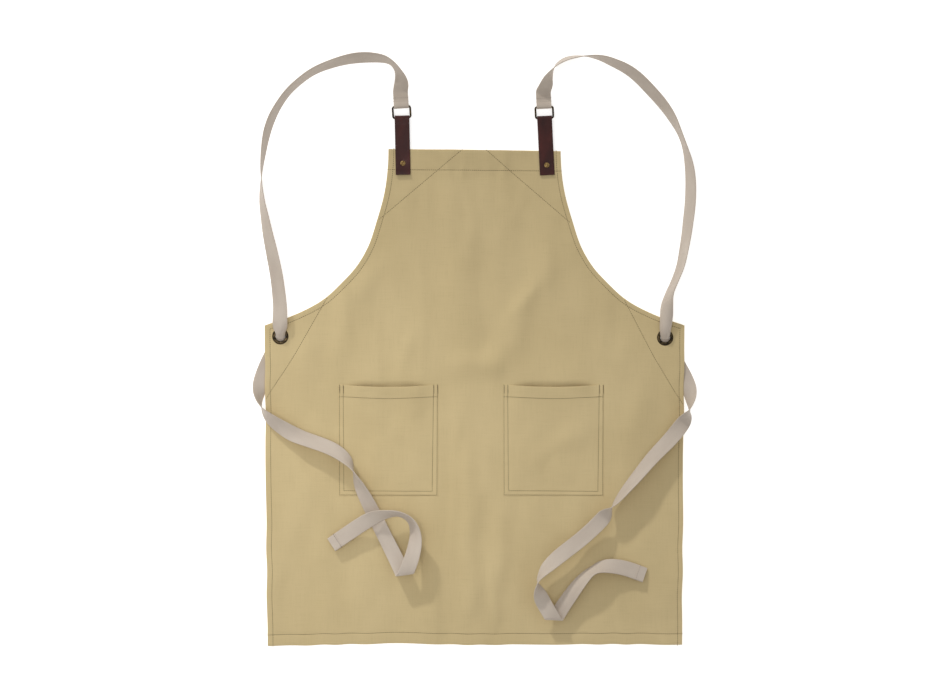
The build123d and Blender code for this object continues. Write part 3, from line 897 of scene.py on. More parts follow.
def inside(points, loop):
    """Which points lie inside a closed loop."""
    count = np.zeros(len(points), int)
    x, y = points[:, 0], points[:, 1]
    for (ax, ay), (bx, by) in zip(loop, np.roll(loop, -1, axis=0)):
        if ay != by:
            crosses = ((ay > y) != (by > y)) & (x < (bx - ax) * (y - ay) / (by - ay) + ax)
            count += crosses
    return count % 2 == 1


def clear_of(points, line, gap):
    """Which points are further than the gap from every point of a line."""
    tree = kdtree.KDTree(len(line))
    for index, (x, y) in enumerate(line):
        tree.insert((x, y, 0), index)
    tree.balance()
    return np.array([tree.find((x, y, 0))[2] > gap for x, y in points], bool)


def grid_in(loop, step):
    """Staggered rows of points over a loop's box."""
    low, high = loop.min(axis=0), loop.max(axis=0)
    rows = np.arange(low[1], high[1], step * 0.87)
    columns = np.arange(low[0], high[0], step)
    points = [
        (column + (row_number % 2) * step / 2, row)
        for row_number, row in enumerate(rows)
        for column in columns
    ]
    return np.array(points)


def hole_rims(holes):
    """A ring of points round each hole, given as its centre and radius."""
    angles = np.linspace(0, 2 * math.pi, RIM_POINTS, endpoint=False)
    circle = np.column_stack([np.cos(angles), np.sin(angles)])
    return [circle * radius + centre for centre, radius in holes]


def inner_points(loop, edge, step, seams, holes):
    """Points inside a cloth's edge: rows beside each seam, and a grid between them."""
    rows = [line + normals(line) * aside for line in seams for aside in SEAM_ROWS]
    inner = np.vstack(rows + [grid_in(loop, step)])
    inner = inner[inside(inner, edge)]
    inner = inner[clear_of(inner, edge, 0.4 * EDGE_STEP)]
    for centre, radius in holes:
        inner = inner[np.linalg.norm(inner - centre, axis=1) > radius + 0.001]
    return thin(inner, CLOSEST)


def rolled_edge(points, ring, out, roll):
    """Rows of points that carry a sheet's edge round under it, and the faces between them."""
    rows = []
    for angle in np.radians(ROLL_ANGLES):
        row = points[ring].copy()
        row[:, :2] += out * roll * math.sin(angle)
        row[:, 2] -= roll * (1 - math.cos(angle))
        rows.append(row)
    tuck = rows[-1].copy()
    tuck[:, :2] -= out * ROLL_TUCK
    rows.append(tuck)
    base = len(points)
    count = len(ring)
    names = [ring] + [[base + r * count + i for i in range(count)] for r in range(len(rows))]
    faces = []
    for here, below in zip(names, names[1:]):
        for i in range(count):
            after = (i + 1) % count
            faces.append((here[after], here[i], below[i], below[after]))
    return rows, faces


def cloth(name, loop, surface, step, thickness, roll=0.0, seams=(), holes=(), **piece):
    """A sheet of cloth in a closed counter-clockwise loop of flat places. surface() lays it. With a
    roll, its edge turns round under it. holes are (centre, radius)."""
    out = normals(loop, True)
    edge = loop - out * roll
    rims = hole_rims(holes)
    flat = np.vstack([edge, *rims, inner_points(loop, edge, step, seams, holes)])
    links = []
    start = len(edge)
    for rim in rims:
        links += [(start + i, start + (i + 1) % len(rim)) for i in range(len(rim))]
        start += len(rim)
    vertices, _, faces, sources, _, _ = geometry.delaunay_2d_cdt(
        [Vector(point) for point in flat], links, [list(range(len(edge)))], 1, 1e-7
    )
    flat_out = np.array([tuple(vertex) for vertex in vertices])
    kept = []
    for face in faces:
        corners = flat_out[list(face)]
        middle = corners.mean(axis=0)
        if any(np.linalg.norm(middle - centre) < radius for centre, radius in holes):
            continue
        kept.append(tuple(face) if signed_area(corners) > 0 else tuple(reversed(face)))
    points = surface(flat_out)
    if roll:
        home = {source: index for index, origin in enumerate(sources) for source in origin}
        rows, rolled = rolled_edge(points, [home[i] for i in range(len(edge))], out, roll)
        points = np.vstack([points] + rows)
        kept += rolled
    sheet = add_piece(name, points, kept, "canvas", **piece)
    thicken(sheet, thickness)
    return sheet


def thicken(piece, thickness):
    """Give a sheet its thickness, downwards."""
    modifier = piece.modifiers.new("thickness", "SOLIDIFY")
    modifier.thickness = thickness
    modifier.offset = -1
    modifier.use_even_offset = False
    apply_modifiers(piece)


def apply_modifiers(piece):
    """Put the modifiers' result in the piece's own mesh."""
    bpy.context.view_layer.update()
    graph = bpy.context.evaluated_depsgraph_get()
    mesh = bpy.data.meshes.new_from_object(piece.evaluated_get(graph))
    piece.modifiers.clear()
    mesh.set_sharp_from_angle(angle=math.radians(SHARP_ANGLE))
    piece.data = mesh


def loop_of(*lines):
    """A closed counter-clockwise loop through open lines, with even points."""
    corners = np.vstack([np.asarray(line, float) for line in lines])
    runs = np.linalg.norm(np.diff(corners, axis=0), axis=1)
    corners = corners[np.concatenate([[True], runs > 1e-5])]
    closed = np.vstack([corners, corners[:1]])
    points = []
    for here, after in zip(closed, closed[1:]):
        count = max(1, int(round(np.linalg.norm(after - here) / LOOP_STEP)))
        points.extend(here + (after - here) * step / count for step in range(count))
    points = np.array(points)
    return points if signed_area(points) > 0 else points[::-1]


BOTTOM_HEM_Y = BOTTOM_Y + BOTTOM_HEM
BIB_HEM_Y = BIB_Y - BIB_HEM
BACK_LEVEL = -CLOTH - LAYER_GAP

# How far each patch reaches past its seam
BIB_PATCH_LAP = 0.003
SIDE_PATCH_LAP = (0.0028, 0.0016)


def grommet_hole(name):
    """The hole that a grommet needs in the cloth."""
    return np.array(GROMMETS[name]), HOLE_RADIUS + HOLE_EASE


def under_panel(places):
    """How a layer under the panel lies."""
    return lay(places, BACK_LEVEL, BACK_RELIEF)


def backing(name, thickness, *lines, holes=()):
    """A turned hem or a patch under the panel, its edge drawn through the lines."""
    loop = loop_of(*lines)
    return cloth(
        f"{name}_cloth", loop, under_panel, PANEL_GRID, thickness, holes=holes, replaces=[name]
    )


def hem(name, *lines):
    """A turned hem."""
    return backing(name, HEM_CLOTH - 2 * LAYER_GAP, *lines)


def bib_hem():
    """The bib's deep hem, between the two armhole edges."""
    top_y = BIB_Y - EDGE_ROLL
    corner = BIB_HALF_WIDTH - EDGE_ROLL
    edges = []
    for side in SIDES.values():
        line = inset(armhole_line(side), side, EDGE_ROLL)
        edges.append(line[(line[:, 1] > BIB_HEM_Y) & (line[:, 1] < top_y)])
    return hem("bib_hem", [(-corner, top_y)], edges[0], edges[1][::-1], [(corner, top_y)])


def bottom_hem():
    """The bottom hem, from side to side."""
    half = BOTTOM_HALF_WIDTH - EDGE_ROLL
    low = BOTTOM_Y + EDGE_ROLL
    return hem(
        "bottom_hem", [(-half, low), (half, low)], [(half, BOTTOM_HEM_Y), (-half, BOTTOM_HEM_Y)]
    )


def bib_patch(name, armhole):
    """The patch behind the bib's corner, from its diagonal seam to the armhole's hem."""
    side = SIDES[name]
    seam = np.array(BIB_PATCH_SEAMS[name])
    away = (seam[1] - seam[0]) / np.linalg.norm(seam[1] - seam[0])
    start = seam[0] + np.array([side * away[1], -side * away[0]]) * BIB_PATCH_LAP
    corner = (start[0] + (BIB_HEM_Y - start[1]) * away[0] / away[1], BIB_HEM_Y - 0.0003)
    lowest = seam[1][1] - 0.006
    edge = armhole[(armhole[:, 1] > lowest) & (armhole[:, 1] < BIB_HEM_Y - 0.0005)]
    return backing(f"{name}_bib_patch", CLOTH, [corner], edge - np.array([side * 0.0004, 0]))


def side_patch(name, armhole, flank, limit):
    """The patch behind a grommet, from its slanting seam to the armhole's and the side's hems."""
    side = SIDES[name]
    lap_x, lap_y = SIDE_PATCH_LAP
    seam = np.array(SIDE_PATCH_SEAMS[name])
    diagonal = resample(seam - np.array([side * lap_x, lap_y]), LOOP_STEP)
    diagonal = diagonal[np.abs(diagonal[:, 0]) < limit - 0.0012]
    top = armhole[np.abs(armhole[:, 0]) > abs(diagonal[0, 0])] - np.array([0, 0.0004])
    edge = flank[(flank[:, 1] > diagonal[-1, 1]) & (flank[:, 1] < top[-1, 1])]
    edge = edge - np.array([side * 0.0004, 0])
    holes = [grommet_hole(name)]
    return backing(f"{name}_side_patch", CLOTH, top, edge, diagonal[::-1], holes=holes)


def side_pieces(name):
    """A side's hem, its armhole's hem, and its two patches."""
    side = SIDES[name]
    flank = side_line(side)
    flank = flank[flank[:, 1] > BOTTOM_HEM_Y + 0.0002]
    flank_out = inset(flank, side, EDGE_ROLL)
    flank_in = inset(flank, side, EDGE_HEM)
    limit = abs(flank_in[0, 0])
    arm_out = inset(armhole_line(side), side, EDGE_ROLL)
    arm_in = inset(armhole_line(side), side, EDGE_HEM)
    reach = np.abs(arm_out[:, 0])
    cap = arm_out[(reach > limit) & (reach < abs(flank_out[0, 0]))]
    under = arm_out[reach <= limit][-1]
    inner = flank_in[flank_in[:, 1] < under[1] - 0.001]
    outer = flank_out[flank_out[:, 1] < cap[-1, 1] - 0.0005]
    bands = []
    for line in (arm_out, arm_in):
        below_bib = line[:, 1] < BIB_HEM_Y - 0.0002
        bands.append(line[below_bib & (np.abs(line[:, 0]) < limit - 0.0002)])
    return [
        hem(f"{name}_side_hem", cap, outer, inner[::-1]),
        hem(f"{name}_armhole_hem", bands[0], bands[1][::-1]),
        bib_patch(name, bands[1]),
        side_patch(name, bands[1], inner, limit),
    ]


def make_panel():
    """The panel with its rolled edges, its turned hems and its patches."""
    panel = cloth(
        "apron_panel",
        OUTLINE,
        lay,
        PANEL_GRID,
        CLOTH,
        roll=EDGE_ROLL,
        seams=ALL_SEAMS,
        holes=[grommet_hole(name) for name in SIDES],
        replaces=["main_panel"],
    )
    pieces = [bib_hem(), bottom_hem()]
    for name in SIDES:
        pieces += side_pieces(name)
    return panel, pieces


POCKET_LEVEL = CLOTH + 0.0001
POCKET_ROLL = 0.0006
POCKET_CROWN = 0.0032
POCKET_SAG = 0.0034


def pocket_surface(name):
    """How a pocket's cloth lies: sewn flat at three sides, standing open at the mouth."""
    left, right, bottom, top = POCKETS[name]
    reach = POCKET_ROWS[1] + 0.002

    def surface(places, under=0.0):
        """Lay places of the pocket, or of a layer under it."""
        x, y = places[:, 0], places[:, 1]
        across = np.clip((x - left) / (right - left), 0, 1)
        up = np.clip((y - bottom) / (top - bottom), 0, 1)
        free = smooth(reach, reach + 0.028, x - left) * smooth(reach, reach + 0.028, right - x)
        free_low = smooth(reach, reach + 0.03, y - bottom)
        crown = free * free_low * (0.0006 + POCKET_CROWN * up**3)
        crown += 0.0005 * free * free_low * np.sin(x / 0.012 + 2.0 * np.sin(y / 0.03))
        base = lay(places, POCKET_LEVEL, mouths=False)
        base[:, 2] += crown - under
        base[:, 1] -= POCKET_SAG * np.sin(math.pi * across) ** 1.3 * up**6
        return base

    return surface


def make_pocket(name):
    """A patch pocket with its edges turned under, and its mouth hem."""
    left, right, bottom, top = POCKETS[name]
    surface = pocket_surface(name)

    def behind(places):
        """How the mouth hem lies, behind the pocket's cloth."""
        return surface(places, CLOTH + 0.00003)

    hem_row = resample([(left, top - 0.021), (right, top - 0.0205)], EDGE_STEP)
    pocket = cloth(
        f"{name}_pocket_cloth",
        loop_of([(left, bottom), (right, bottom), (right, top), (left, top)]),
        surface,
        POCKET_GRID,
        CLOTH,
        roll=POCKET_ROLL,
        seams=POCKET_SEAMS[name] + [hem_row],
        replaces=[f"{name}_pocket"],
    )
    low, high = top - POCKET_HEM - 0.001, top - 0.0008
    left, right = left + 0.001, right - 0.001
    mouth_hem = cloth(
        f"{name}_pocket_hem_cloth",
        loop_of([(left, low), (right, low), (right, high), (left, high)]),
        behind,
        POCKET_GRID,
        CLOTH,
        replaces=[f"{name}_pocket_hem"],
    )
    return pocket, mouth_hem


# ---- Stitching ------------------------------------------------------------------------------

STITCH_PITCH = 0.0034
STITCH_LENGTH = 0.0027
THREAD_RADIUS = 0.00042
THREAD_SIDES = 5
THREAD_LIFT = 0.00012

# Rings of a stitch: share of its length from the middle, share of the thread's radius, and drop
STITCH_RINGS = ((-0.5, 0.55, 0.00042), (-0.3, 1, 0.0001), (0.3, 1, 0.0001), (0.5, 0.55, 0.00042))


def stitch_shape():
    """One stitch along x: a thread that dives into the cloth at both ends."""
    points = []
    for share, swell, drop in STITCH_RINGS:
        radius = THREAD_RADIUS * swell
        for step in range(THREAD_SIDES):
            angle = 2 * math.pi * step / THREAD_SIDES
            y, z = radius * math.cos(angle), radius * math.sin(angle) - drop
            points.append((share * STITCH_LENGTH, y, z))
    rings = len(STITCH_RINGS)
    faces = [tuple(reversed(face)) for face in grid_faces(rings, THREAD_SIDES, False, True)]
    faces.append(tuple(range(THREAD_SIDES)))
    faces.append(tuple(reversed(range(len(points) - THREAD_SIDES, len(points)))))
    return np.array(points), faces


def stitching(name, lines, up=1.0, thread="thread", **piece):
    """Stitches along lines of laid points. up is 1 on the front and -1 on the back."""
    shape, shape_faces = stitch_shape()
    points = []
    faces = []
    for line in lines:
        line = resample(line, STITCH_PITCH)
        ways = np.gradient(line, axis=0)
        for place, way in zip(line, ways):
            way = way / np.linalg.norm(way)
            across = np.cross((0, 0, up), way)
            across /= np.linalg.norm(across)
            rise = np.cross(way, across)
            start = len(points) * len(shape)
            points.append(place + shape @ np.array([way, across, rise]))
            faces.extend(tuple(start + index for index in face) for face in shape_faces)
    return add_piece(name, np.vstack(points), faces, thread, **piece)


def back_stitching(name, lines, depth):
    """The stitches that show on the back, that far below the panel's front."""
    stitching(name, [lay(line, -depth - THREAD_LIFT, BACK_RELIEF) for line in lines], -1.0)


def make_cloth_stitching():
    """All the seams of the panel and pockets, on the front and on the back."""
    stitching("hem_stitching", [lay(line, THREAD_LIFT) for line in edge_seams()])
    stitching("patch_stitching", [lay(line, THREAD_LIFT) for line in patch_seams()])
    back_stitching("hem_stitching_back", edge_seams(), CLOTH + HEM_CLOTH)
    back_stitching("patch_stitching_back", patch_seams(), 2 * CLOTH)
    for name, (left, right, _, top) in POCKETS.items():
        surface = pocket_surface(name)
        rows = list(POCKET_SEAMS[name])
        for reach in POCKET_ROWS:
            for x in (left + reach, right - reach):
                rows.append(np.array([(x + 0.0009, top - 0.012), (x + 0.0007, top - 0.0022)]))
        mouth = [
            (left + 0.002, top - 0.0195),
            ((left + right) / 2, top - 0.021),
            (right - 0.002, top - 0.0195),
        ]
        rows.append(resample(mouth, EDGE_STEP))
        stitching(f"{name}_pocket_stitching", [surface(row, -THREAD_LIFT) for row in rows])
        back_stitching(f"{name}_pocket_stitching_back", POCKET_SEAMS[name], CLOTH)


# ---- Webbing --------------------------------------------------------------------------------


def edge_way(compass, lift):
    """The way that the webbing's outer edge faces."""
    compass, lift = math.radians(compass), math.radians(lift)
    level = math.cos(lift)
    return np.array([level * math.cos(compass), level * math.sin(compass), math.sin(lift)])


def spline_points(points):
    """Points read from the smooth NURBS line of a route."""
    curve = bpy.data.curves.new("route", "CURVE")
    curve.dimensions = "3D"
    spline = curve.splines.new("NURBS")
    spline.points.add(len(points) - 1)
    for control, place in zip(spline.points, points):
        control.co = (*place, 1)
    spline.order_u = 3
    spline.use_endpoint_u = True
    spline.resolution_u = 10
    route = bpy.data.objects.new("route", curve)
    mesh = bpy.data.meshes.new_from_object(route)
    line = np.array([tuple(vertex.co) for vertex in mesh.vertices])
    bpy.data.objects.remove(route)
    bpy.data.meshes.remove(mesh)
    return line


def strap_line(route):
    """The middle line of a strap and the way across it at each point."""
    middle = np.array([row[:3] for row in route])
    edge = middle + WEB_WIDTH / 2 * np.array([edge_way(*row[3:]) for row in route])
    line = spline_points(middle)
    return line, spline_points(edge) - line


RIBBON_COLUMNS = {"webbing": 11, "leather": 25}
EDGE_ROUNDING = 0.8
CREASE_REACH = 0.009
CREASE_COMPASS = {"left": 8.0, "right": -3.0}


def headings(line):
    """The unit way along a line at each of its points."""
    way = np.gradient(line, axis=0)
    return way / np.linalg.norm(way, axis=1)[:, None]


def ribbon_section(width, thickness, columns):
    """The flat section of a ribbon with rounded edges, as (across, up) places round it."""
    thick = thickness / 2
    round_off = EDGE_ROUNDING * thick
    flat = width / 2 - round_off
    steps = np.linspace(-flat, flat, columns)
    section = [(a, thick) for a in steps]
    for angle in np.radians((60, 20, -20, -60)):
        section.append((flat + round_off * math.cos(angle), thick * math.sin(angle)))
    section += [(a, -thick) for a in steps[::-1]]
    for angle in np.radians((240, 200, 160, 120)):
        section.append((-flat + round_off * math.cos(angle), thick * math.sin(angle)))
    return section


def creased(line, way, across, crease):
    """Sections slanted to lie along a crease near it: their ways across and up, and the slant."""
    place, crease_way = crease
    near = np.exp(-(((lengths(line) - place) / CREASE_REACH) ** 2))[:, None]
    side = np.sign(across @ crease_way)[:, None] * crease_way
    mixed = across * (1 - near) + side * near
    slant = np.sum(mixed * way, axis=1)
    level = mixed - way * slant[:, None]
    scale = np.linalg.norm(level, axis=1)[:, None]
    return mixed / scale, np.cross(way, level / scale), slant / scale[:, 0]


def ribbon(
    name,
    line,
    across,
    material,
    width,
    thickness,
    start=0.0,
    curl=None,
    gather=None,
    way=None,
    crease=None,
    **piece,
):
    """A flat strap along a line. curl bends its section (1/metre), and gather narrows it. At a
    crease, given as its place along the line and its way, the sections lie along the crease."""
    way = headings(line) if way is None else way
    across = across - way * np.sum(across * way, axis=1)[:, None]
    across /= np.linalg.norm(across, axis=1)[:, None]
    rise = np.cross(way, across)
    slant = np.zeros(len(line))
    if crease is not None:
        across, rise, slant = creased(line, way, across, crease)
    curl = np.zeros(len(line)) if curl is None else curl
    gather = np.ones(len(line)) if gather is None else gather
    section = ribbon_section(width, thickness, RIBBON_COLUMNS[material])
    points = []
    uv = []
    rows = zip(line, across, rise, curl, gather, lengths(line), slant)
    for place, side, up, bend, narrow, along, lean in rows:
        for a, b in section:
            turn = a * bend
            curved = abs(turn) >= 1e-6
            wide = math.sin(turn) / bend if curved else a
            deep = (1 - math.cos(turn)) / bend if curved else 0.0
            wide = (wide - b * math.sin(turn)) * narrow
            points.append(place + side * wide + up * (deep + b * math.cos(turn)))
            uv.append((a, start + along + a * lean))
    count = len(section)
    faces = grid_faces(len(line), count, False, True)
    faces.append(tuple(reversed(range(count))))
    faces.append(tuple(range(len(points) - count, len(points))))
    faces = [tuple(reversed(face)) for face in faces]
    return add_piece(name, points, faces, material, uv=uv, **piece)


def ring_frame(name):
    """The ring's frame: origin on the middle of the lower bar, and its x and y ways."""
    (x, y), tilt, ring_tilt, reach, _ = TABS[name]
    tab = math.radians(tilt)
    up = np.array([-math.sin(tab), math.cos(tab), 0.0])
    origin = np.array([x, y, 0.0]) + up * reach
    turn = math.radians(tilt + ring_tilt)
    right = np.array([math.cos(turn), math.sin(turn), 0])
    return origin, right, np.array([-right[1], right[0], 0])


def in_frame(frame_of, rows):
    """Points from (y, z) rows on a frame's middle plane."""
    origin, _, up = frame_of
    return np.array([origin + up * y + np.array([0, 0, z]) for y, z in rows])


def arc_rows(centre_y, centre_z, radius, first, last, count):
    """(y, z) rows of an arc, angles in degrees from +y."""
    return [
        (centre_y + radius * math.cos(angle), centre_z + radius * math.sin(angle))
        for angle in np.radians(np.linspace(first, last, count))
    ]


def wander(line, amount, seed):
    """A slow random change along a strap."""
    return np.array([amount * noise.noise(Vector((s / 0.045, seed, 0.5))) for s in lengths(line)])


# How far up from the grommet each neck strap rolls into a tube, and how tightly (1/metre)
NECK_ROLL = {"left": (0.026, 122.0), "right": (0.080, 118.0)}
NECK_CURL = 14.0
NECK_GATHER = 0.12
NECK_GATHER_REACH = 0.020
NECK_SEED = {"left": 1.0, "right": 5.0}
NECK_FACING = {"left": 0, "right": 180}
LOOP_TURN = LOOP_INNER + WEB / 2
LOOP_LOW = RING_Z - LOOP_TURN


def loop_rows():
    """(y, z) rows of a sewn loop: down its front layer, round the ring's bar and up its back."""
    bar = RING_HEIGHT
    front = LOOP_LOW + WEB + 0.0001
    rows = [(bar + LOOP_FRONT - share * 0.007, front) for share in (0, 0.25, 0.5, 0.75, 1)]
    rows += [(bar + 0.0080, LOOP_LOW + 2.0 * WEB), (bar + 0.0055, LOOP_LOW + 2.7 * WEB)]
    rows += [(bar + 0.003, RING_Z + LOOP_TURN - 0.0003)]
    rows += arc_rows(bar, RING_Z, LOOP_TURN, 90, 270, 17)
    rows += [(bar + LOOP_BACK * share, LOOP_LOW) for share in (0.2, 0.4, 0.6, 0.8)]
    return rows


def loop_seam_lines(frame_of):
    """The two lines of stitching that hold a sewn loop, one near its end and one by the ring."""
    origin, right, up = frame_of
    level = LOOP_LOW + 1.5 * WEB + 0.0002
    lines = []
    for y, z in ((LOOP_FRONT - 0.0025, level), (0.0085, level + 0.0011)):
        middle = origin + up * (RING_HEIGHT + y) + np.array([0, 0, z])
        lines.append(np.array([middle - right * 0.0115, middle + right * 0.0115]))
    return lines


def make_neck(name):
    """A neck strap: its sewn loop round the ring, then the strap to the grommet."""
    frame_of = ring_frame(name)
    origin, _, up = frame_of
    start = origin + up * (RING_HEIGHT + LOOP_BACK) + np.array([0, 0, LOOP_LOW])
    facing = NECK_FACING[name] + TABS[name][1] + TABS[name][2]
    head = [(*start, facing, 0), (*(start + up * HEAD_RUN), facing, 0)]
    line, across = strap_line(head + NECK_ROUTES[name])
    along = lengths(line)
    cut = int(np.searchsorted(along, HEAD_LENGTH))
    rows = in_frame(frame_of, loop_rows())
    loop_line = np.vstack([rows, line[: cut + 1]])
    loop_across = np.vstack([np.tile(across[0], (len(rows), 1)), across[: cut + 1]])
    ways = headings(np.vstack([loop_line, line[cut + 1 :]]))
    loop = ribbon(
        f"{name}_sewn_loop",
        loop_line,
        loop_across,
        "webbing",
        LOOP_WIDTH,
        WEB,
        way=ways[: len(loop_line)],
        body=None,
        replaces=[f"{name}_strap_loop"],
    )
    rest = line[cut:]
    from_loop = along[cut:] - along[cut]
    from_end = along[-1] - along[cut:]
    roll_reach, roll = NECK_ROLL[name]
    rolled = 1 - smooth(0.0, roll_reach, from_end - 0.006)
    free = (1 - rolled) * smooth(0.0, 0.04, from_loop)
    narrow = LOOP_WIDTH / WEB_WIDTH
    width = narrow + (1 - narrow) * smooth(0, 0.03, from_loop)
    strap = ribbon(
        f"{name}_neck_webbing",
        rest,
        across[cut:],
        "webbing",
        WEB_WIDTH,
        WEB,
        start=float(lengths(loop_line)[-1]),
        curl=-roll * rolled + wander(rest, NECK_CURL, NECK_SEED[name]) * free,
        gather=width * (1 - NECK_GATHER * (1 - smooth(0.0, NECK_GATHER_REACH, from_end))),
        way=ways[len(loop_line) - 1 :],
        body=None,
        replaces=[f"{name}_neck_strap"],
    )
    lines = loop_seam_lines(frame_of)
    seam = stitching(f"{name}_loop_stitching", lines, thread="pale_thread", body=None)
    for piece in (loop, seam):
        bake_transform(piece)
    tuple(rest[0])
    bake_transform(strap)
    [tuple(point) for point in rest]


TIE_CURL = 10.0
TIE_SEED = {"left": 2.0, "right": 7.0}
TIE_THREAD = {"left": "tie_thread", "right": "pale_thread"}
TIE_GATHER = 0.60


def make_tie(name):
    """A waist tie: from the grommet, round the apron's side and over its front, to its sewn end."""
    line, across = strap_line(TIE_ROUTES[name])
    along = lengths(line)
    free = smooth(0.06, 0.12, along) * smooth(0.0, 0.03, along[-1] - along)
    tie = ribbon(
        f"{name}_tie_webbing",
        line,
        across,
        "webbing",
        WEB_WIDTH,
        WEB,
        curl=wander(line, TIE_CURL, TIE_SEED[name]) * free,
        gather=TIE_GATHER + (1 - TIE_GATHER) * smooth(0.0, 0.034, along),
        crease=(along[int(np.argmin(line[:, 1]))], edge_way(CREASE_COMPASS[name], 0)),
        replaces=[f"{name}_waist_tie"],
    )
    heading = line[-1] - line[-2]
    heading /= np.linalg.norm(heading)
    side = across[-1] - heading * np.dot(across[-1], heading)
    side /= np.linalg.norm(side)
    up = np.cross(heading, side)
    shares = np.array([-0.0004, 0.001, 0.004, 0.008, 0.012, 0.0136, TIE_END])
    end = ribbon(
        f"{name}_tie_hem",
        line[-1] + np.outer(shares, heading),
        np.tile(side, (len(shares), 1)),
        "webbing",
        WEB_WIDTH,
        2 * WEB,
        start=float(along[-1]),
        replaces=[f"{name}_tie_end"],
    )
    upward = 1.0 if up[2] > 0 else -1.0
    for face, label in ((1, "front"), (-1, "back")):
        middle = line[-1] + heading * 0.0016 + up * face * (WEB + 0.0001)
        row = np.array([middle - side * 0.0118, middle + side * 0.0118])
        label = f"{name}_tie_stitching_{label}"
        stitching(label, [row], upward * face, TIE_THREAD[name])


# ---- Leather and metal ----------------------------------------------------------------------


DIMPLE = 0.0007
DIMPLE_WIDTH = 0.0052
TAB_END_LIFT = {"left": 0.0026, "right": 0.0018}
TAB_FOLD = 0.0024 + LEATHER / 2
TAB_NECK = 0.012


def make_tab(name):
    """A leather strip folded round the ring's lower bar, dimpled by its rivet."""
    (x, y), tilt, _, reach, below = TABS[name]
    turn = math.radians(tilt)
    frame_of = (np.array([x, y, 0.0]), None, np.array([-math.sin(turn), math.cos(turn), 0.0]))
    right = np.array([math.cos(turn), math.sin(turn), 0.0])
    front = LEATHER_FRONT - LEATHER / 2
    back = LEATHER_BACK + LEATHER / 2
    fold_top, fold_low = RING_Z + TAB_FOLD, RING_Z - TAB_FOLD
    neck = reach - TAB_NECK
    flap = np.linspace(-below, neck, 76)
    curled = np.clip((-0.007 - flap) / 0.012, 0, 1) ** 2 * TAB_END_LIFT[name]
    rows = [(place, front + lift) for place, lift in zip(flap, curled)]
    shares = np.linspace(0.15, 1, 6)
    for share, rise in zip(shares, smooth(0, 1, shares)):
        rows.append((neck + TAB_NECK * share, front + (fold_top - front) * rise))
    rows += arc_rows(reach, RING_Z, TAB_FOLD, 78, -90, 15)
    for share, rise in zip(shares, smooth(0, 1, shares)):
        rows.append((reach - TAB_NECK * share, fold_low + (back - fold_low) * rise))
    rows += [(place, back) for place in np.linspace(neck - 0.002, -below + 0.0004, 34)]
    line = in_frame(frame_of, rows)
    places = np.array(rows)
    facing_front = places[:, 1] > RING_Z
    across = np.tile(right, (len(rows), 1))
    arch = np.where(facing_front, -1.0, 1.0) * (1.2 + 1.6 * smooth(0.03, 0.06, places[:, 0]))
    tab = ribbon(
        f"{name}_leather_tab",
        line,
        across,
        "leather",
        TAB_WIDTH,
        LEATHER,
        curl=arch,
        body=f"{name}_tab",
        replaces=[f"{name}_tab"],
    )
    for vertex in tab.data.vertices:
        if vertex.co.z > RING_Z:
            away = math.hypot(vertex.co.x - x, vertex.co.y - y)
            vertex.co.z -= DIMPLE * math.exp(-((away / DIMPLE_WIDTH) ** 2))


# Profiles of the turned pieces, as (radius, height): the rivet's cap above its seat in the leather,
# its post above the surface, the eyelet's flange above the panel's front, and the rest of it and
# its washer above the surface
RIVET_SEAT = LEATHER_FRONT - 0.0004
RIVET_CAP = [
    (0, 0.00135), (0.0009, 0.00132), (0.0018, 0.00121), (0.0026, 0.00100), (0.0031, 0.00082),
    (0.0034, 0.00080), (0.0038, 0.00086), (0.0041, 0.00076), (0.0043, 0.00050),
    (0.0043, 0.00025), (0.0041, 0.0001), (0.0036, 0), (0, 0),
]
RIVET_POST = [
    (0, 0.0058), (0.0015, 0.0058), (0.0016, 0.0056), (0.0016, 0.0009), (0.0018, 0.0008),
    (0.0040, 0.0008), (0.0043, 0.0006), (0.0043, 0.0002), (0.0040, 0.00005), (0, 0.00005),
]
EYELET_FLANGE = [
    (0.0080, 0), (0.0081, 0.0005), (0.0085, 0.0009), (0.0093, 0.0011), (0.0104, 0.00112),
    (0.0116, 0.00095), (0.0127, 0.0006), (0.0134, 0.00022), (0.0135, 0.00002),
    (0.0130, -0.0001), (0.0087, -0.0001),
]
EYELET_BARREL = [
    (0.0086, 0.0030), (0.0086, 0.0024), (0.0092, 0.0024), (0.0096, 0.0023), (0.0095, 0.0022),
    (0.0088, 0.0021), (0.0082, 0.0022),
]
WASHER = [
    (0.0087, 0.0031), (0.0087, 0.0026), (0.0090, 0.00242), (0.0104, 0.0024),
    (0.0118, 0.0025), (0.0124, 0.0027), (0.0125, 0.0030), (0.0124, 0.0031),
]


def raised(profile, height):
    """A profile moved up."""
    return [(radius, height + above) for radius, above in profile]


def make_rivet(name):
    """A domed front cap with a rolled rim, and the post with its flat back cap."""
    place = TABS[name][0]
    cap = raised(RIVET_CAP, RIVET_SEAT)
    revolve(f"{name}_rivet_dome", cap, place, "rivet_brass", "apron", [f"{name}_rivet_cap"], True)
    post = RIVET_POST
    revolve(f"{name}_rivet_shank", post, place, "dark_brass", "apron", [f"{name}_rivet_post"], True)


RING_STEP = 0.0011
RING_SIDES = 20


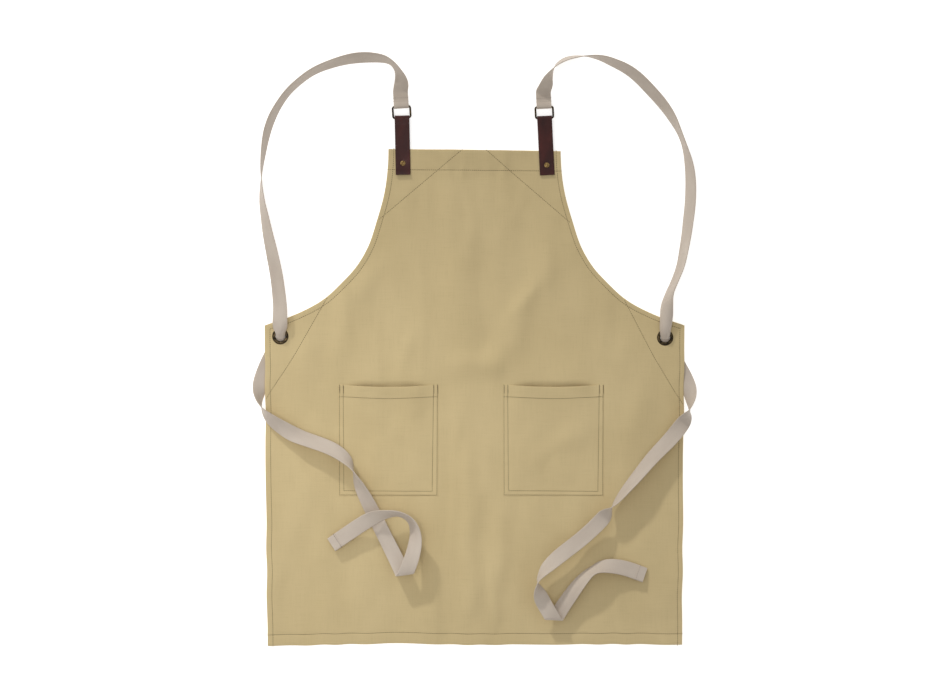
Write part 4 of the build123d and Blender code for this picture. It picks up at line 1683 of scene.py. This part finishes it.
def make_ring(name):
    """A rectangular wire ring with rounded corners, its wire a little uneven."""
    origin, right, up = ring_frame(name)
    half = RING_WIDTH / 2
    corners = [
        (half - RING_CORNER, RING_CORNER, -90),
        (half - RING_CORNER, RING_HEIGHT - RING_CORNER, 0),
        (-half + RING_CORNER, RING_HEIGHT - RING_CORNER, 90),
        (-half + RING_CORNER, RING_CORNER, 180),
    ]
    flat = []
    for x, y, first in corners:
        for angle in np.radians(np.linspace(first, first + 90, 9)):
            flat.append((x + RING_CORNER * math.cos(angle), y + RING_CORNER * math.sin(angle)))
    flat = np.vstack([flat, flat[:1]])
    flat = resample(flat, RING_STEP)[:-1]
    out = normals(flat, True)
    out /= np.linalg.norm(out, axis=1)[:, None]
    points = []
    for (x, y), (out_x, out_y) in zip(flat, out):
        wire = RING_WIRE * (1 + 0.02 * math.sin(x * 900) * math.cos(y * 700))
        for step in range(RING_SIDES):
            angle = 2 * math.pi * step / RING_SIDES
            reach = wire * math.cos(angle)
            place = origin + right * (x + out_x * reach) + up * (y + out_y * reach)
            points.append(place + np.array([0, 0, RING_Z + wire * math.sin(angle)]))
    faces = [tuple(reversed(face)) for face in grid_faces(len(flat), RING_SIDES, True, True)]
    add_piece(f"{name}_wire_ring", points, faces, "dark_brass", f"{name}_ring", [f"{name}_ring"])


def make_grommet(name):
    """An eyelet with a rolled flange on the front, and the washer it is clenched over."""
    place = GROMMETS[name]
    eyelet = [(HOLE_RADIUS, 0.0024), *raised(EYELET_FLANGE, PANEL_FRONT), *EYELET_BARREL]
    revolve(f"{name}_eyelet", eyelet, place, "dark_brass", "apron", [f"{name}_grommet"])
    washer = [f"{name}_grommet_washer"]
    revolve(f"{name}_washer", WASHER, place, "dark_brass", "apron", washer)


# ---- Studio ---------------------------------------------------------------------------------

SKY_COLOUR = (1.0, 0.99, 0.97, 1)
SKY_STRENGTH = 0.53
FLOOR_HALF = 6.0

# The key light's compass way and its lift above the floor in degrees, and the other lights' places
KEY_WAY = (0.428, -0.904)
KEY_LIFT = 22.5
KEY_STRENGTH = 1.18
KEY_ANGLE = 3.5
KEY_COLOUR = (1.0, 0.985, 0.95)
FILL_POWER = 1.0
FILL_SIZE = 0.8
FILL_PLACE = (-0.7, 0.1, 1.3)
POOL_POWER = 40.0
POOL_ANGLE = 30.0
POOL_SIZE = 0.35
POOL_PLACE = (-0.45, -0.10, 2.0)
POOL_AIM = (-0.26, -0.15, 0)


def add_light(name, kind, power, place, aim):
    """A light of that kind, turned to its aim."""
    light = bpy.data.lights.new(name, kind)
    light.energy = power
    lamp = bpy.data.objects.new(name, light)
    lamp.location = place
    lamp.rotation_euler = (Vector(aim) - Vector(place)).to_track_quat("-Z", "Y").to_euler()
    bpy.context.scene.collection.objects.link(lamp)
    return light


def make_floor():
    """The pale surface that the apron lies on."""
    half = FLOOR_HALF
    corners = [(-half, -half, 0), (half, -half, 0), (half, half, 0), (-half, half, 0)]
    mesh = bpy.data.meshes.new("floor")
    mesh.from_pydata(corners, [], [(0, 1, 2, 3)])
    mesh.materials.append(floor_material())
    floor = bpy.data.objects.new("floor", mesh)
    bpy.context.scene.collection.objects.link(floor)


def make_studio():
    """A pale floor, a bright even sky, a low key light from the top left, a soft fill from the left
    and a wide pool of light on the left of the skirt."""
    make_floor()
    world = bpy.data.worlds.new("studio")
    world.use_nodes = True
    sky = world.node_tree.nodes["Background"]
    sky.inputs["Color"].default_value = SKY_COLOUR
    sky.inputs["Strength"].default_value = SKY_STRENGTH
    bpy.context.scene.world = world
    lift = math.radians(KEY_LIFT)
    way = (KEY_WAY[0] * math.cos(lift), KEY_WAY[1] * math.cos(lift), -math.sin(lift))
    key = add_light("key", "SUN", KEY_STRENGTH, (0, 0, 0), way)
    key.angle = math.radians(KEY_ANGLE)
    key.color = KEY_COLOUR
    fill = add_light("fill", "AREA", FILL_POWER, FILL_PLACE, (0, 0, 0))
    fill.size = FILL_SIZE
    pool = add_light("pool", "SPOT", POOL_POWER, POOL_PLACE, POOL_AIM)
    pool.spot_size = math.radians(POOL_ANGLE)
    pool.spot_blend = 1.0
    pool.shadow_soft_size = POOL_SIZE
    bpy.context.scene.view_settings.view_transform = "Standard"


# ---- Assembly -------------------------------------------------------------------------------

make_camera()
for side_name in SIDES:
    make_neck(side_name)
    make_tie(side_name)
apron_panel, panel_pieces = make_panel()
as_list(panel_pieces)
for side_name in SIDES:
    pocket_cloth, pocket_hem = make_pocket(side_name)
    make_tab(side_name)
    make_rivet(side_name)
    make_ring(side_name)
    make_grommet(side_name)
make_cloth_stitching()
make_studio()
